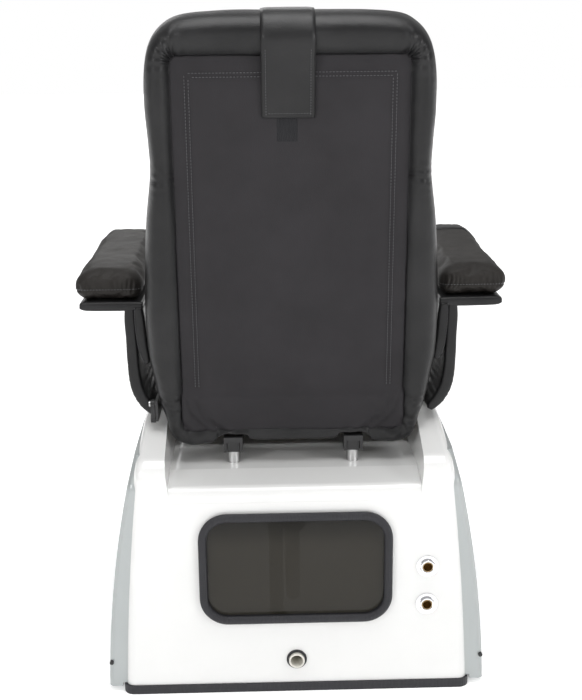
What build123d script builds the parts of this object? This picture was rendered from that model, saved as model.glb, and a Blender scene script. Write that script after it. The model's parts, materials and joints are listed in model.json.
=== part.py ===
"""Pedicure spa chair: a reclining massage chair that slides on the deck of a moulded base with a footbath.

Millimetres. +Z is up and the sitter faces -Y, so the footbath is at -Y and +X is the sitter's left.
The origin is on the floor, at the centre of the whole chair's footprint.
"""
from build123d import *
from math import atan2, cos, radians, sin, tan
import os

os.makedirs("parts", exist_ok=True)

# ---------------------------------------------------------------- driving dimensions
# Base mouldings
REAR_Y = 700            # rear wall at its foot
FRONT_Y = -700          # front wall
JOIN_Y = -120           # where the pedestal moulding meets the footbath moulding
SHELL_FOOT = 8          # the mouldings' lower edge, held in the edge trim
WALL = 5                # moulding thickness
FOOT_HALF = 369         # half width at the foot
WAIST = (351, 281)      # half width and height of a point on the curved side wall
CREST_HALF = 312        # half width the side walls would reach above the shoulders
SHOULDER_Z = 566        # top of the shoulders beside the seat
REAR_SHOULDER = (688, 514)   # Y and Z where the rear wall turns into the shoulder
DECK_Z = 360            # deck around the footbath
FRONT_CORNER = 140      # plan radius of the front corners
EDGE_R = 20             # outer edge rounding of the mouldings

# Seat tray sunk between the shoulders
TRAY_Z = 474
TRAY_HALF = 259
TRAY_TOP_HALF = 271
TRAY_LIP_Z = 464

# Rear wall features, placed from the window's centre
WINDOW_Z = 288
WINDOW = (370, 214, 43)       # daylight: width, height, corner radius
PANE_EDGE, HOLE_EDGE, LIP_EDGE = 4, 8, 18   # how far the pane, wall opening and gasket lip reach past it
INLET_X, INLET_ZS = -276, (285, 199)
DRAIN_Z = 75
PIPE_R, PIPE_BORE_R = 16.7, 13.3   # one inch PVC drain pipe
THREAD_R = 9.3                # half inch female thread, minor radius

# Side panels
PANEL_FOOT_HALF = 404
PANEL_BULGE = (373.4, 320)
PANEL_TOP = (328, 540)
PANEL_SKIN = 4

# Footbath
BASIN_Y = -450
BASIN = (464, 370, 104)       # mouth: width, length, corner radius
BASIN_FLOOR = (376, 282, 90)
BASIN_WALL = 4
RIM_T = 5
BASIN_FLOOR_Z = 150
JET_Z = 235
JET_R = 34

# Taps on the deck at the sitter's left, and the button at the right
VALVE_X = 300
TAP_Y, HOT_Y, COLD_Y = -336, -272, -400
SPRAYER_Y = -490
BUTTON = (-300, -330)
STEM_R, SPOUT_R, SPRAYER_R, BUTTON_R = 6, 9, 14, 13
VALVE_Z = (312, DECK_Z - 5)

# Slide rails
RAIL_X = 128
TRAY_POST_TOP = 503
RAIL_HALF, RAIL_TOP = 13, 524.5
RUNNER_HALF, RUNNER_Z = 20, (504, 537)
RUNNER_WALL = 6
RUNNER_YS = (-20, 583)
RAIL_YS = (-20, 578)
STANDOFF_R = 13
STANDOFF_YS = (60, 557)

# Seat
FRAME_HALF = 240
CROSS_YS = (0, 220, 430)
CROSS_WIDTH = 25
BOARD_Z = (559, 573)
SEAT_TOP = 650
SEAT_YS = (-60, 445)
CUSHION_HALF = 284

# Arms
ARM_YS = (110, 548)
ARM_FOOT_Z = 573
ARM_OUTER, ARM_INNER = 351, 326
FLANGE_Z, PAD_Z = 807, 829
FLANGE_X = (308, 441)
PAD_X, PAD_YS = (306, 450), (85, 550)
PAD_REAR_TOP, PAD_FRONT_TOP = 884, 903
STRAP_YS, STRAP_T = (150, 188), 2.5

# Back, drawn on its own leaning plane: x across, v up the back, w in from its rear face to the sitter
BACK_FOOT = (575, 520)        # Y and Z of the plane's origin
BACK_LEAN = 8.1
BACK_TOP = 878
BORDER_DEPTH = 105
SKIRT_V, SKIRT_T, SKIRT_HALF = 20, 10, 150
CORNER_SKIRT_T = 3.5
OPENING_HALF, OPENING_V = 222, (48, 838)
OPENING_R = 40
PANEL_W = (10, 14)
PAD_W = (66, 120)
HINGE = (38, 12)              # v and w of the recline axis
HINGE_PIN_R, HINGE_EYE_R = 5, 8
BRACKET_X = (162, 168)
KNUCKLE_X = (168.5, 175)
UPRIGHT_X = (190, 210)
FRAME_W = (24, 46)
FRAME_V = (52, 72, 800, 820)
TRACK_X, TRACK_R, TRACK_W = 70, 6, 35
CARRIAGE_V = (300, 340)
ROLLER_R, ROLLER_V, ROLLER_W = 18, 366, 46
ROLLER_X = (30, 60)
PILLOW_STRAP = (-46, 56, 696)     # its two edges across, and its lower end
PILLOW_PATCH = (-12, 27, 647)
STRAP_SKIN = 4
PILLOW_V = (690, 850)

# Recline lever
LEVER_PIVOT = (564, 610)      # Y and Z
LEVER_X = (292, 301)
LEVER_REACH = 33
LEVER_TIP_R = 9
LEVER_PIN_R = 4


def save(piece, name):
    """Labels a finished piece and writes its STEP file."""
    piece.part.label = name
    export_step(piece.part, f"parts/{name}.step")


def box(x, y, z, mode=Mode.ADD):
    """A box given by its (low, high) limits along each axis."""
    middle = tuple((low + high) / 2 for low, high in (x, y, z))
    with Locations(middle):
        Box(x[1] - x[0], y[1] - y[0], z[1] - z[0], mode=mode)


def rear_y(z):
    """Y of the rear wall's outer face at a height."""
    slope = (REAR_Y - REAR_SHOULDER[0]) / (REAR_SHOULDER[1] - SHELL_FOOT)
    return REAR_Y - slope * (z - SHELL_FOOT)


def window_outline(grow, mode=Mode.ADD):
    """The window's outline, grown all round."""
    RectangleRounded(WINDOW[0] + 2 * grow, WINDOW[1] + 2 * grow, WINDOW[2] + grow, mode=mode)


REAR_LEAN = (REAR_Y - REAR_SHOULDER[0]) / (REAR_SHOULDER[1] - SHELL_FOOT)
REAR_FACE = Plane(origin=(0, rear_y(WINDOW_Z), WINDOW_Z), x_dir=(-1, 0, 0), z_dir=(0, 1, REAR_LEAN))


# ---------------------------------------------------------------- base mouldings
def shell_profile(front):
    """Side outline (Y, Z) of one moulding, with the radius of each corner that is rounded."""
    if front:
        return [((JOIN_Y, -40), 0), ((JOIN_Y, 432), 0), ((-215, DECK_Z), 90), ((-655, DECK_Z), 0),
                ((-690, 330), 30), ((FRONT_Y, -40), 0)]
    return [((rear_y(-40), -40), 0), (REAR_SHOULDER, 45), ((500, SHOULDER_Z), 160), ((90, SHOULDER_Z), 190),
            ((JOIN_Y, 432), 0), ((JOIN_Y, -40), 0)]


def moulding_body(front, inset):
    """The closed body a moulding is cut from, with every face moved in by inset."""
    profile = shell_profile(front)
    with BuildPart() as body:
        with BuildSketch(Plane.YZ) as side:
            with BuildLine():
                Polyline([point for point, _ in profile], close=True)
            make_face()
            for (y, z), radius in profile:
                if radius:
                    fillet(side.vertices().sort_by_distance((y, z, 0))[0], radius)
            if inset:
                offset(amount=-inset, kind=Kind.INTERSECTION)
        extrude(amount=FOOT_HALF + 40, both=True)
        with BuildSketch(Plane.XZ):
            with BuildLine():
                Line((CREST_HALF, 640), (-CREST_HALF, 640))
                ThreePointArc((CREST_HALF, 640), WAIST, (FOOT_HALF, -40))
                ThreePointArc((-CREST_HALF, 640), (-WAIST[0], WAIST[1]), (-FOOT_HALF, -40))
                Line((FOOT_HALF, -40), (-FOOT_HALF, -40))
            make_face()
            if inset:
                offset(amount=-inset, kind=Kind.INTERSECTION)
        extrude(amount=900, both=True, mode=Mode.INTERSECT)
        if front:
            with BuildSketch(Plane.XY.offset(-60)) as plan:
                with Locations((0, 0)):
                    Rectangle(2 * FOOT_HALF, 2 * -FRONT_Y)
                fillet(plan.vertices().group_by(Axis.Y)[0], FRONT_CORNER)
                if inset:
                    offset(amount=-inset)
            extrude(amount=800, mode=Mode.INTERSECT)
        else:
            corners = body.faces().sort_by(Axis.X)[-1].edges() + body.faces().sort_by(Axis.X)[0].edges()
            rounded = [e for e in corners if e.center().Z > 100 and e.center().Y > JOIN_Y + inset + 1]
            fillet(rounded, EDGE_R - inset)
    return body.part


def tray_body(grow):
    """The space the seat slides in: a flared trough with a rounded lip over the rear wall."""
    lip_y = rear_y(TRAY_LIP_Z)
    with BuildPart() as body:
        with BuildSketch(Plane.YZ) as side:
            with BuildLine():
                Polyline((760, 700), (760, 430), (lip_y, 430), (lip_y, TRAY_LIP_Z), (600, TRAY_Z),
                         (-160, TRAY_Z), (-160, 700), close=True)
            make_face()
            fillet(side.vertices().sort_by_distance((lip_y, TRAY_LIP_Z, 0))[0], 22)
            if grow:
                offset(amount=grow, kind=Kind.INTERSECTION)
        extrude(amount=400, both=True)
        with BuildSketch(Plane.XZ) as section:
            with BuildLine():
                Polyline((-TRAY_HALF, TRAY_LIP_Z - 30), (TRAY_HALF, TRAY_LIP_Z - 30),
                         (TRAY_TOP_HALF, SHOULDER_Z),
                         (TRAY_TOP_HALF + 14, 720), (-TRAY_TOP_HALF - 14, 720), (-TRAY_TOP_HALF, SHOULDER_Z),
                         close=True)
            make_face()
            if grow:
                offset(amount=grow, kind=Kind.INTERSECTION)
        extrude(amount=900, both=True, mode=Mode.INTERSECT)
    return body.part


def moulding_cavity(front):
    """What is hollowed out of a moulding: its body moved in by the wall, less the tray's own wall."""
    with BuildPart() as cavity:
        add(moulding_body(front, WALL))
        if front:
            box((-328, 328), (JOIN_Y - 10, JOIN_Y + 5), (-40, 424))
        else:
            add(tray_body(WALL), mode=Mode.SUBTRACT)
            box((-328, 328), (JOIN_Y - 5, JOIN_Y + 10), (-40, 424))
    return cavity.part


with BuildPart() as pedestal_shell:
    add(moulding_body(False, 0))
    add(tray_body(0), mode=Mode.SUBTRACT)
    add(moulding_cavity(False), mode=Mode.SUBTRACT)
    box((-450, 450), (-800, 800), (-60, SHELL_FOOT), mode=Mode.SUBTRACT)
    with BuildSketch(REAR_FACE.offset(20)):
        window_outline(HOLE_EDGE)
        for z in INLET_ZS:
            with Locations((-INLET_X, z - WINDOW_Z)):
                Circle(11.2)
        with Locations((0, DRAIN_Z - WINDOW_Z)):
            Circle(PIPE_R + 2.3)
    extrude(amount=-60, mode=Mode.SUBTRACT)
save(pedestal_shell, "pedestal_shell")

with BuildPart() as footbath_surround:
    add(moulding_body(True, 0))
    add(moulding_cavity(True), mode=Mode.SUBTRACT)
    box((-450, 450), (-800, 800), (-60, SHELL_FOOT), mode=Mode.SUBTRACT)
    with BuildSketch(Plane.XY.offset(DECK_Z - 40)):
        with Locations((0, BASIN_Y)):
            RectangleRounded(BASIN[0] + 6, BASIN[1] + 6, BASIN[2] + 3)
        for x, y, radius in ((VALVE_X, HOT_Y, STEM_R), (VALVE_X, COLD_Y, STEM_R), (VALVE_X, TAP_Y, SPOUT_R),
                             (VALVE_X, SPRAYER_Y, 17), (*BUTTON, BUTTON_R)):
            with Locations((x, y)):
                Circle(radius + 0.5)
    extrude(amount=80, mode=Mode.SUBTRACT)
save(footbath_surround, "footbath_surround")

# ---------------------------------------------------------------- trims, panels and window
def foot_outline(grow):
    """Plan outline of the mouldings at the floor: square at the back, rounded at the front."""
    with BuildSketch() as outline:
        Rectangle(2 * FOOT_HALF, REAR_Y - FRONT_Y)
        fillet(outline.vertices().group_by(Axis.Y)[-1], EDGE_R)
        fillet(outline.vertices().group_by(Axis.Y)[0], FRONT_CORNER)
        offset(amount=grow)
    return outline.sketch


with BuildPart() as base_edge_trim:
    with BuildSketch():
        add(foot_outline(3))
        add(foot_outline(-12), mode=Mode.SUBTRACT)
    extrude(amount=20)
    add(pedestal_shell.part, mode=Mode.SUBTRACT)
    add(footbath_surround.part, mode=Mode.SUBTRACT)
save(base_edge_trim, "base_edge_trim")


def panel_body(inset):
    """A side panel's outer form on the sitter's left, moved in by inset, still filled to the moulding."""
    with BuildPart() as body:
        with BuildSketch(Plane.XZ):
            with BuildLine():
                Polyline(PANEL_TOP, (300, PANEL_TOP[1]), (300, 12), (PANEL_FOOT_HALF, 12))
                ThreePointArc((PANEL_FOOT_HALF, 12), PANEL_BULGE, PANEL_TOP)
            make_face()
            if inset:
                offset(amount=-inset, kind=Kind.INTERSECTION)
        extrude(amount=900, both=True)
        with BuildSketch(Plane.YZ) as side:
            with BuildLine():
                Polyline((689, 12), (684, 468), (640, 524), (480, 540), (90, 540), (-130, 402), (-226, 336),
                         (-550, 336), (-550, 12), close=True)
            make_face()
            fillet(side.vertices().sort_by_distance((684, 468))[0], 30)
            fillet(side.vertices().sort_by_distance((90, 540))[0], 180)
            fillet(side.vertices().sort_by_distance((-550, 336))[0], 50)
            if inset:
                offset(amount=-inset, kind=Kind.INTERSECTION)
        extrude(amount=500, mode=Mode.INTERSECT)
        if not inset:
            ends = body.faces().sort_by(Axis.Y)
            fillet(ends[0].edges().sort_by(Axis.X)[-1], 16)
            fillet(body.faces().sort_by(Axis.Y)[-1].edges().sort_by(Axis.X)[-1], 12)
    return body.part


SCREW_Z = 70

with BuildPart() as side_panel_left:
    add(panel_body(0))
    add(moulding_body(False, 0), mode=Mode.SUBTRACT)
    add(moulding_body(True, 0), mode=Mode.SUBTRACT)
    add(panel_body(PANEL_SKIN), mode=Mode.SUBTRACT)
    box((290, 374), (-800, 800), (0, 21), mode=Mode.SUBTRACT)
save(side_panel_left, "side_panel_left")

with BuildPart() as side_panel_right:
    add(mirror(side_panel_left.part, about=Plane.YZ, mode=Mode.PRIVATE))
save(side_panel_right, "side_panel_right")

with BuildPart() as side_panel_screws:
    for side in (-1, 1):
        with Locations((side * 396, 688.4, SCREW_Z)):
            Cylinder(radius=4.5, height=6, rotation=(90, 0, 0))
    add(side_panel_left.part, mode=Mode.SUBTRACT)
    add(side_panel_right.part, mode=Mode.SUBTRACT)
save(side_panel_screws, "side_panel_screws")

with BuildPart() as access_window:
    with BuildSketch(REAR_FACE.offset(-1)):
        window_outline(PANE_EDGE)
    extrude(amount=-3)
save(access_window, "access_window")

with BuildPart() as access_gasket:
    for level, depth, grow in ((5, 5, LIP_EDGE), (0, WALL, HOLE_EDGE), (-WALL, 4, LIP_EDGE - 4)):
        with BuildSketch(REAR_FACE.offset(level)):
            window_outline(grow)
        extrude(amount=-depth)
    with BuildSketch(REAR_FACE.offset(10)):
        window_outline(0)
    extrude(amount=-30, mode=Mode.SUBTRACT)
    add(access_window.part, mode=Mode.SUBTRACT)
    lip = access_gasket.faces().sort_by(Axis.Y)[-1]
    fillet(lip.edges(), 2)
save(access_gasket, "access_gasket")


# ---------------------------------------------------------------- water fittings on the rear wall
def on_rear(x, z, depth=0):
    """A plane on the rear wall's outer face, facing out, at a point given seen from above."""
    plane = REAR_FACE.offset(depth)
    return plane.shift_origin(plane.from_local_coords((-x, z - WINDOW_Z, 0)))


def sleeve(plane, outer, inner, length):
    """A tube standing on a plane, going in the plane's negative direction."""
    with BuildPart() as tube:
        with BuildSketch(plane):
            Circle(outer)
            if inner:
                Circle(inner, mode=Mode.SUBTRACT)
        extrude(amount=-length)
    return tube.part


with BuildPart() as inlet_escutcheons:
    for z in INLET_ZS:
        add(sleeve(on_rear(INLET_X, z, 3), 23.5, 10.6, 3))
        add(sleeve(on_rear(INLET_X, z, 8), 16, 10.6, 5))
    chamfer(inlet_escutcheons.faces().sort_by(Axis.Y)[-2:].edges(), 1.2)
save(inlet_escutcheons, "inlet_escutcheons")

for name, z in zip(("inlet_fitting_hot", "inlet_fitting_cold"), INLET_ZS):
    with BuildPart() as inlet_fitting:
        add(sleeve(on_rear(INLET_X, z, 7), 10.5, THREAD_R, 27))
        with BuildSketch(on_rear(INLET_X, z, -WALL)):
            RegularPolygon(15, 6)
            Circle(THREAD_R, mode=Mode.SUBTRACT)
        extrude(amount=-7)
        with BuildSketch(on_rear(INLET_X, z, -20)):
            Circle(13)
        extrude(amount=-14)
        chamfer(inlet_fitting.faces().sort_by(Axis.Y)[0].edges(), 2)
    save(inlet_fitting, name)

with BuildPart() as drain_grommet:
    add(sleeve(on_rear(0, DRAIN_Z, 4), 21.5, PIPE_R + 0.7, 4))
    add(sleeve(on_rear(0, DRAIN_Z, 0), PIPE_R + 2.2, PIPE_R + 0.7, WALL))
    add(sleeve(on_rear(0, DRAIN_Z, -WALL), 21.5, PIPE_R + 0.7, 4))
    fillet(drain_grommet.faces().sort_by(Axis.Y)[-1].edges().sort_by(SortBy.RADIUS)[-1], 2)
save(drain_grommet, "drain_grommet")


def pipe(points, bend, outer, inner=0):
    """A round pipe along straight runs joined by bends."""
    with BuildPart() as tube:
        with BuildLine() as run:
            FilletPolyline(*points, radius=bend)
        with BuildSketch(run.line ^ 0):
            Circle(outer)
            if inner:
                Circle(inner, mode=Mode.SUBTRACT)
        sweep(path=run.line)
    return tube.part


# ---------------------------------------------------------------- footbath
BASIN_SLOPE = atan2((BASIN[1] - BASIN_FLOOR[1]) / 2, DECK_Z + RIM_T - BASIN_FLOOR_Z)
JET_FACE = Plane(origin=(0, BASIN_Y + BASIN_FLOOR[1] / 2 - BASIN_WALL + (JET_Z - BASIN_FLOOR_Z) * tan(BASIN_SLOPE),
                         JET_Z), x_dir=(1, 0, 0), z_dir=(0, -cos(BASIN_SLOPE), sin(BASIN_SLOPE)))

with BuildPart() as footbath_basin:
    with BuildSketch(Plane.XY.offset(DECK_Z)):
        with Locations((0, BASIN_Y)):
            RectangleRounded(BASIN[0] + 36, BASIN[1] + 30, BASIN[2] + 15)
    extrude(amount=RIM_T)
    fillet(footbath_basin.faces().sort_by(Axis.Z)[-1].edges(), 3)
    for z, outline, grow in ((DECK_Z + RIM_T, BASIN, 0), (BASIN_FLOOR_Z - BASIN_WALL, BASIN_FLOOR, 0)):
        with BuildSketch(Plane.XY.offset(z)):
            with Locations((0, BASIN_Y)):
                RectangleRounded(outline[0] + 2 * grow, outline[1] + 2 * grow, outline[2] + grow)
    loft()
    for z, outline in ((DECK_Z + RIM_T, BASIN), (BASIN_FLOOR_Z, BASIN_FLOOR)):
        with BuildSketch(Plane.XY.offset(z)):
            with Locations((0, BASIN_Y)):
                RectangleRounded(outline[0] - 2 * BASIN_WALL, outline[1] - 2 * BASIN_WALL,
                                 outline[2] - BASIN_WALL)
    loft(mode=Mode.SUBTRACT)
    with Locations((0, BASIN_Y, BASIN_FLOOR_Z)):
        Cylinder(radius=25, height=20, mode=Mode.SUBTRACT)
    with BuildSketch(JET_FACE.offset(20)):
        Circle(JET_R + 0.5)
    extrude(amount=-40, mode=Mode.SUBTRACT)
save(footbath_basin, "footbath_basin")

with BuildPart() as drain_strainer:
    with Locations((0, BASIN_Y, BASIN_FLOOR_Z + 1)):
        Cylinder(radius=31, height=2)
    with Locations((0, BASIN_Y, BASIN_FLOOR_Z - 18)):
        Cylinder(radius=24.5, height=36)
    with Locations((0, BASIN_Y, BASIN_FLOOR_Z - 10)):
        Cylinder(radius=21, height=30, mode=Mode.SUBTRACT)
    with BuildSketch(Plane.XY.offset(BASIN_FLOOR_Z - 12)):
        with Locations((0, BASIN_Y)):
            Rectangle(46, 5)
            Rectangle(5, 46)
            Circle(8)
            Circle(4.06, mode=Mode.SUBTRACT)
    extrude(amount=5)
    with Locations((0, BASIN_Y, BASIN_FLOOR_Z - 30)):
        Cylinder(radius=PIPE_BORE_R, height=20, mode=Mode.SUBTRACT)
save(drain_strainer, "drain_strainer")

with BuildPart() as drain_stopper:
    with Locations((0, BASIN_Y, BASIN_FLOOR_Z - 10)):
        Cylinder(radius=4, height=28)
    with Locations((0, BASIN_Y, BASIN_FLOOR_Z + 5.4)):
        Cylinder(radius=24, height=6)
    fillet(drain_stopper.faces().sort_by(Axis.Z)[-1].edges(), 3)
save(drain_stopper, "drain_stopper")

PUMP_Y, PUMP_Z = (410, 334)

with BuildPart() as drain_pump:
    with Locations((0, PUMP_Y, PUMP_Z)):
        Cylinder(radius=50, height=40, rotation=(90, 0, 0))
    with Locations((0, PUMP_Y + 85, PUMP_Z)):
        Cylinder(radius=30, height=130, rotation=(90, 0, 0))
    box((-20, 20), (PUMP_Y - 12, PUMP_Y + 12), (PUMP_Z, TRAY_Z - WALL))
    box((24, 56), (PUMP_Y - 16, PUMP_Y + 16), (PUMP_Z - 60, PUMP_Z))
    box((-16, 16), (PUMP_Y - 16, PUMP_Y + 16), (PUMP_Z - 60, PUMP_Z - 30))
    fillet(drain_pump.faces().sort_by(Axis.Y)[-1].edges(), 6)
save(drain_pump, "drain_pump")

with BuildPart() as waste_pipe:
    add(pipe([(0, BASIN_Y, BASIN_FLOOR_Z - 36), (0, BASIN_Y, 60), (0, PUMP_Y, 60), (0, PUMP_Y, PUMP_Z - 60)],
             40, PIPE_R, PIPE_BORE_R))
save(waste_pipe, "waste_pipe")

with BuildPart() as drain_pipe:
    add(pipe([(40, PUMP_Y, PUMP_Z - 60), (40, PUMP_Y, 150), (40, 500, DRAIN_Z), (0, 600, DRAIN_Z),
              (0, 708, DRAIN_Z)], 34, PIPE_R, PIPE_BORE_R))
save(drain_pipe, "drain_pipe")

# ---------------------------------------------------------------- water supply and taps
with BuildPart() as mixing_valve:
    box((VALVE_X - 20, VALVE_X + 20), (COLD_Y - 22, HOT_Y + 22), VALVE_Z)
    fillet(mixing_valve.edges().filter_by(Axis.Z), 12)
    for y in (HOT_Y, COLD_Y):
        with Locations((VALVE_X, y, VALVE_Z[1])):
            Hole(radius=STEM_R + 0.06, depth=20)
    with Locations((VALVE_X, TAP_Y, VALVE_Z[1])):
        Hole(radius=9.06, depth=20)
save(mixing_valve, "mixing_valve")

for name, z, y in (("supply_pipe_hot", INLET_ZS[0], HOT_Y), ("supply_pipe_cold", INLET_ZS[1], COLD_Y)):
    with BuildPart() as supply_pipe:
        add(pipe([(INLET_X, rear_y(z) - 34.4, z), (INLET_X, 60, z), (VALVE_X, 60, z), (VALVE_X, y, z),
                  (VALVE_X, y, VALVE_Z[0])], 22, 8, 6))
    save(supply_pipe, name)

for name, y in (("hot_knob", HOT_Y), ("cold_knob", COLD_Y)):
    with BuildPart() as knob:
        with Locations((VALVE_X, y, (VALVE_Z[1] + DECK_Z) / 2 - 4)):
            Cylinder(radius=STEM_R, height=24)
        with BuildSketch(Plane.XY.offset(DECK_Z + 3)):
            with Locations((VALVE_X, y)):
                Circle(17)
                with PolarLocations(18, 5):
                    Circle(5)
        extrude(amount=24)
        fillet(knob.faces().sort_by(Axis.Z)[-1].edges(), 3)
    save(knob, name)

with BuildPart() as tap_plate:
    for y, r in ((HOT_Y, STEM_R + 0.5), (TAP_Y, 9.5), (COLD_Y, STEM_R + 0.5)):
        with BuildSketch(Plane.XY.offset(DECK_Z)):
            with Locations((VALVE_X, y)):
                Circle(22)
                Circle(r, mode=Mode.SUBTRACT)
        extrude(amount=2.6)
save(tap_plate, "tap_plates")

with BuildPart() as spout:
    add(pipe([(VALVE_X, TAP_Y, VALVE_Z[1] - 18), (VALVE_X, TAP_Y, 470), (185, TAP_Y, 470), (185, TAP_Y, 436)],
             30, 9, 7))
    with Locations((VALVE_X, TAP_Y, DECK_Z + 10)):
        Cylinder(radius=18, height=14)
        Cylinder(radius=7, height=14, mode=Mode.SUBTRACT)
save(spout, "spout")

with BuildPart() as sprayer_holder:
    with Locations((VALVE_X, SPRAYER_Y, DECK_Z + 5)):
        Cylinder(radius=22, height=10)
    with Locations((VALVE_X, SPRAYER_Y, DECK_Z - 25)):
        Cylinder(radius=17, height=50)
    with Locations((VALVE_X, SPRAYER_Y, DECK_Z - 10)):
        Cylinder(radius=SPRAYER_R + 0.1, height=60, mode=Mode.SUBTRACT)
save(sprayer_holder, "sprayer_holder")

with BuildPart() as sprayer:
    with BuildSketch(Plane(origin=(VALVE_X, SPRAYER_Y, 0), x_dir=(1, 0, 0), z_dir=(0, -1, 0))):
        with BuildLine():
            Polyline((0, 325), (12, 325), (14, 345), (14, DECK_Z + 12), (19, DECK_Z + 30), (13, DECK_Z + 60),
                     (16, DECK_Z + 96), (30, DECK_Z + 118), (30, DECK_Z + 126), (0, DECK_Z + 132), close=True)
        make_face()
    revolve(axis=Axis((VALVE_X, SPRAYER_Y, 0), (0, 0, 1)))
save(sprayer, "sprayer")

# ---------------------------------------------------------------- jet, button and pump wiring
def jet_disc(level, depth, outer, inner=0):
    """A disc or ring on the jet's own axis, standing proud of its face by level."""
    return sleeve(JET_FACE.offset(level), outer, inner, depth)


with BuildPart() as jet_housing:
    add(jet_disc(4, 4, 44, 29))
    add(jet_disc(0, 70, JET_R, 29))
    add(jet_disc(-70, 6, JET_R, 4.06))
    add(jet_disc(-76, 60, 26, 4.06))
    add(jet_disc(-136, 4, 26))
save(jet_housing, "jet_housing")

with BuildPart() as jet_cover:
    add(jet_disc(10, 6, 42, 8))
    with BuildSketch(JET_FACE.offset(10)):
        with PolarLocations(24, 12):
            SlotOverall(16, 5)
    extrude(amount=-6, mode=Mode.SUBTRACT)
    fillet(jet_cover.faces().sort_by(Axis.Y)[0].edges().sort_by(SortBy.LENGTH)[-1], 4)
save(jet_cover, "jet_cover")

with BuildPart() as jet_impeller:
    add(jet_disc(-20, 70, 4))
    add(jet_disc(-18, 16, 9))
    with BuildSketch(JET_FACE.offset(-20)):
        with PolarLocations(16, 6):
            Rectangle(20, 2.5)
    extrude(amount=-12)
save(jet_impeller, "jet_impeller")

with BuildPart() as button_bezel:
    with BuildSketch(Plane.XY.offset(DECK_Z)):
        with Locations(BUTTON):
            Circle(19)
            Circle(BUTTON_R + 0.1, mode=Mode.SUBTRACT)
    extrude(amount=4)
    fillet(button_bezel.faces().sort_by(Axis.Z)[-1].edges().sort_by(SortBy.RADIUS)[-1], 2)
save(button_bezel, "button_bezel")

with BuildPart() as jet_button:
    with Locations((*BUTTON, DECK_Z + 4)):
        Cylinder(radius=BUTTON_R, height=8)
    fillet(jet_button.faces().sort_by(Axis.Z)[-1].edges(), 1)
save(jet_button, "jet_button")

BOX_X, BOX_Y = (110, 200), (500, 580)
BOX_FLOOR = TRAY_Z - WALL - 55

with BuildPart() as power_box:
    box(BOX_X, BOX_Y, (BOX_FLOOR, TRAY_Z - WALL))
    fillet(power_box.edges().filter_by(Axis.Z), 6)
save(power_box, "power_box")

with BuildPart() as pump_cable:
    with BuildLine() as run:
        Spline((150, 540, BOX_FLOOR), (120, 590, 372), (60, 600, 352), (20, 582, 346), (0, 560, PUMP_Z),
               tangents=((0, 0, -1), (0, -1, 0)))
    with BuildSketch(run.line ^ 0):
        Circle(3.5)
    sweep(path=run.line)
save(pump_cable, "pump_cable")

# ---------------------------------------------------------------- footrest
REST_HINGE = (-160, 432)      # Y and Z
REST_PIN_R = 6
REST_REACH = (-470, -390)     # the pad's ends along Y

with BuildPart() as footrest_bracket:
    for side in (-1, 1):
        box((min(side * 20, side * 30), max(side * 20, side * 30)), (-182, -138), (360, 448))
    box((-30, 30), (-182, -138), (360, 415))
    fillet(footrest_bracket.faces().sort_by(Axis.Z)[-2:].edges().filter_by(Axis.X), 10)
    add(moulding_body(True, 0), mode=Mode.SUBTRACT)
    with Locations((0, *REST_HINGE)):
        Cylinder(radius=REST_PIN_R, height=64, rotation=(0, 90, 0))
save(footrest_bracket, "footrest_bracket")

with BuildPart() as footrest_arm:
    with Locations((0, *REST_HINGE)):
        Cylinder(radius=13, height=39, rotation=(0, 90, 0))
    box((-15, 15), (REST_REACH[0] + 20, REST_HINGE[0] - 8), (REST_HINGE[1] - 8, REST_HINGE[1] + 8))
    box((-80, 80), (REST_REACH[0] + 10, REST_REACH[1] - 10), (REST_HINGE[1] + 2, REST_HINGE[1] + 8))
    with Locations((0, *REST_HINGE)):
        Cylinder(radius=REST_PIN_R + 0.06, height=70, rotation=(0, 90, 0), mode=Mode.SUBTRACT)
save(footrest_arm, "footrest_arm")

with BuildPart() as footrest_pad:
    box((-110, 110), REST_REACH, (REST_HINGE[1] + 8, REST_HINGE[1] + 42))
    fillet(footrest_pad.edges().filter_by(Axis.Z), 24)
    fillet(footrest_pad.faces().sort_by(Axis.Z)[-1].edges(), 12)
save(footrest_pad, "footrest_pad")

# ---------------------------------------------------------------- slide
with BuildPart() as standoff_posts:
    for side in (-1, 1):
        for y in STANDOFF_YS:
            with Locations((side * RAIL_X, y, 485)):
                Cylinder(radius=STANDOFF_R, height=2 * (TRAY_POST_TOP - 485))
    add(tray_body(0), mode=Mode.INTERSECT)
save(standoff_posts, "standoff_posts")

with BuildPart() as slide_rails:
    for side in (-1, 1):
        x = side * RAIL_X
        box((x - RAIL_HALF, x + RAIL_HALF), RAIL_YS, (TRAY_POST_TOP, RAIL_TOP))
save(slide_rails, "slide_rails")

with BuildPart() as slide_runners:
    for side in (-1, 1):
        x = side * RAIL_X
        box((x - RUNNER_HALF, x + RUNNER_HALF), RUNNER_YS, RUNNER_Z)
        inner = RUNNER_HALF - RUNNER_WALL
        box((x - inner, x + inner), (RUNNER_YS[0] - 1, RUNNER_YS[1] + 1), (RUNNER_Z[0] - 1, RAIL_TOP + 0.5),
            mode=Mode.SUBTRACT)
save(slide_runners, "slide_runners")


# ---------------------------------------------------------------- seat
def back_point(v, w):
    """Y and Z of a point given on the back's leaning plane."""
    lean = radians(BACK_LEAN)
    return (BACK_FOOT[0] + v * sin(lean) - w * cos(lean), BACK_FOOT[1] + v * cos(lean) + w * sin(lean))


HINGE_AT = back_point(*HINGE)

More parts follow.
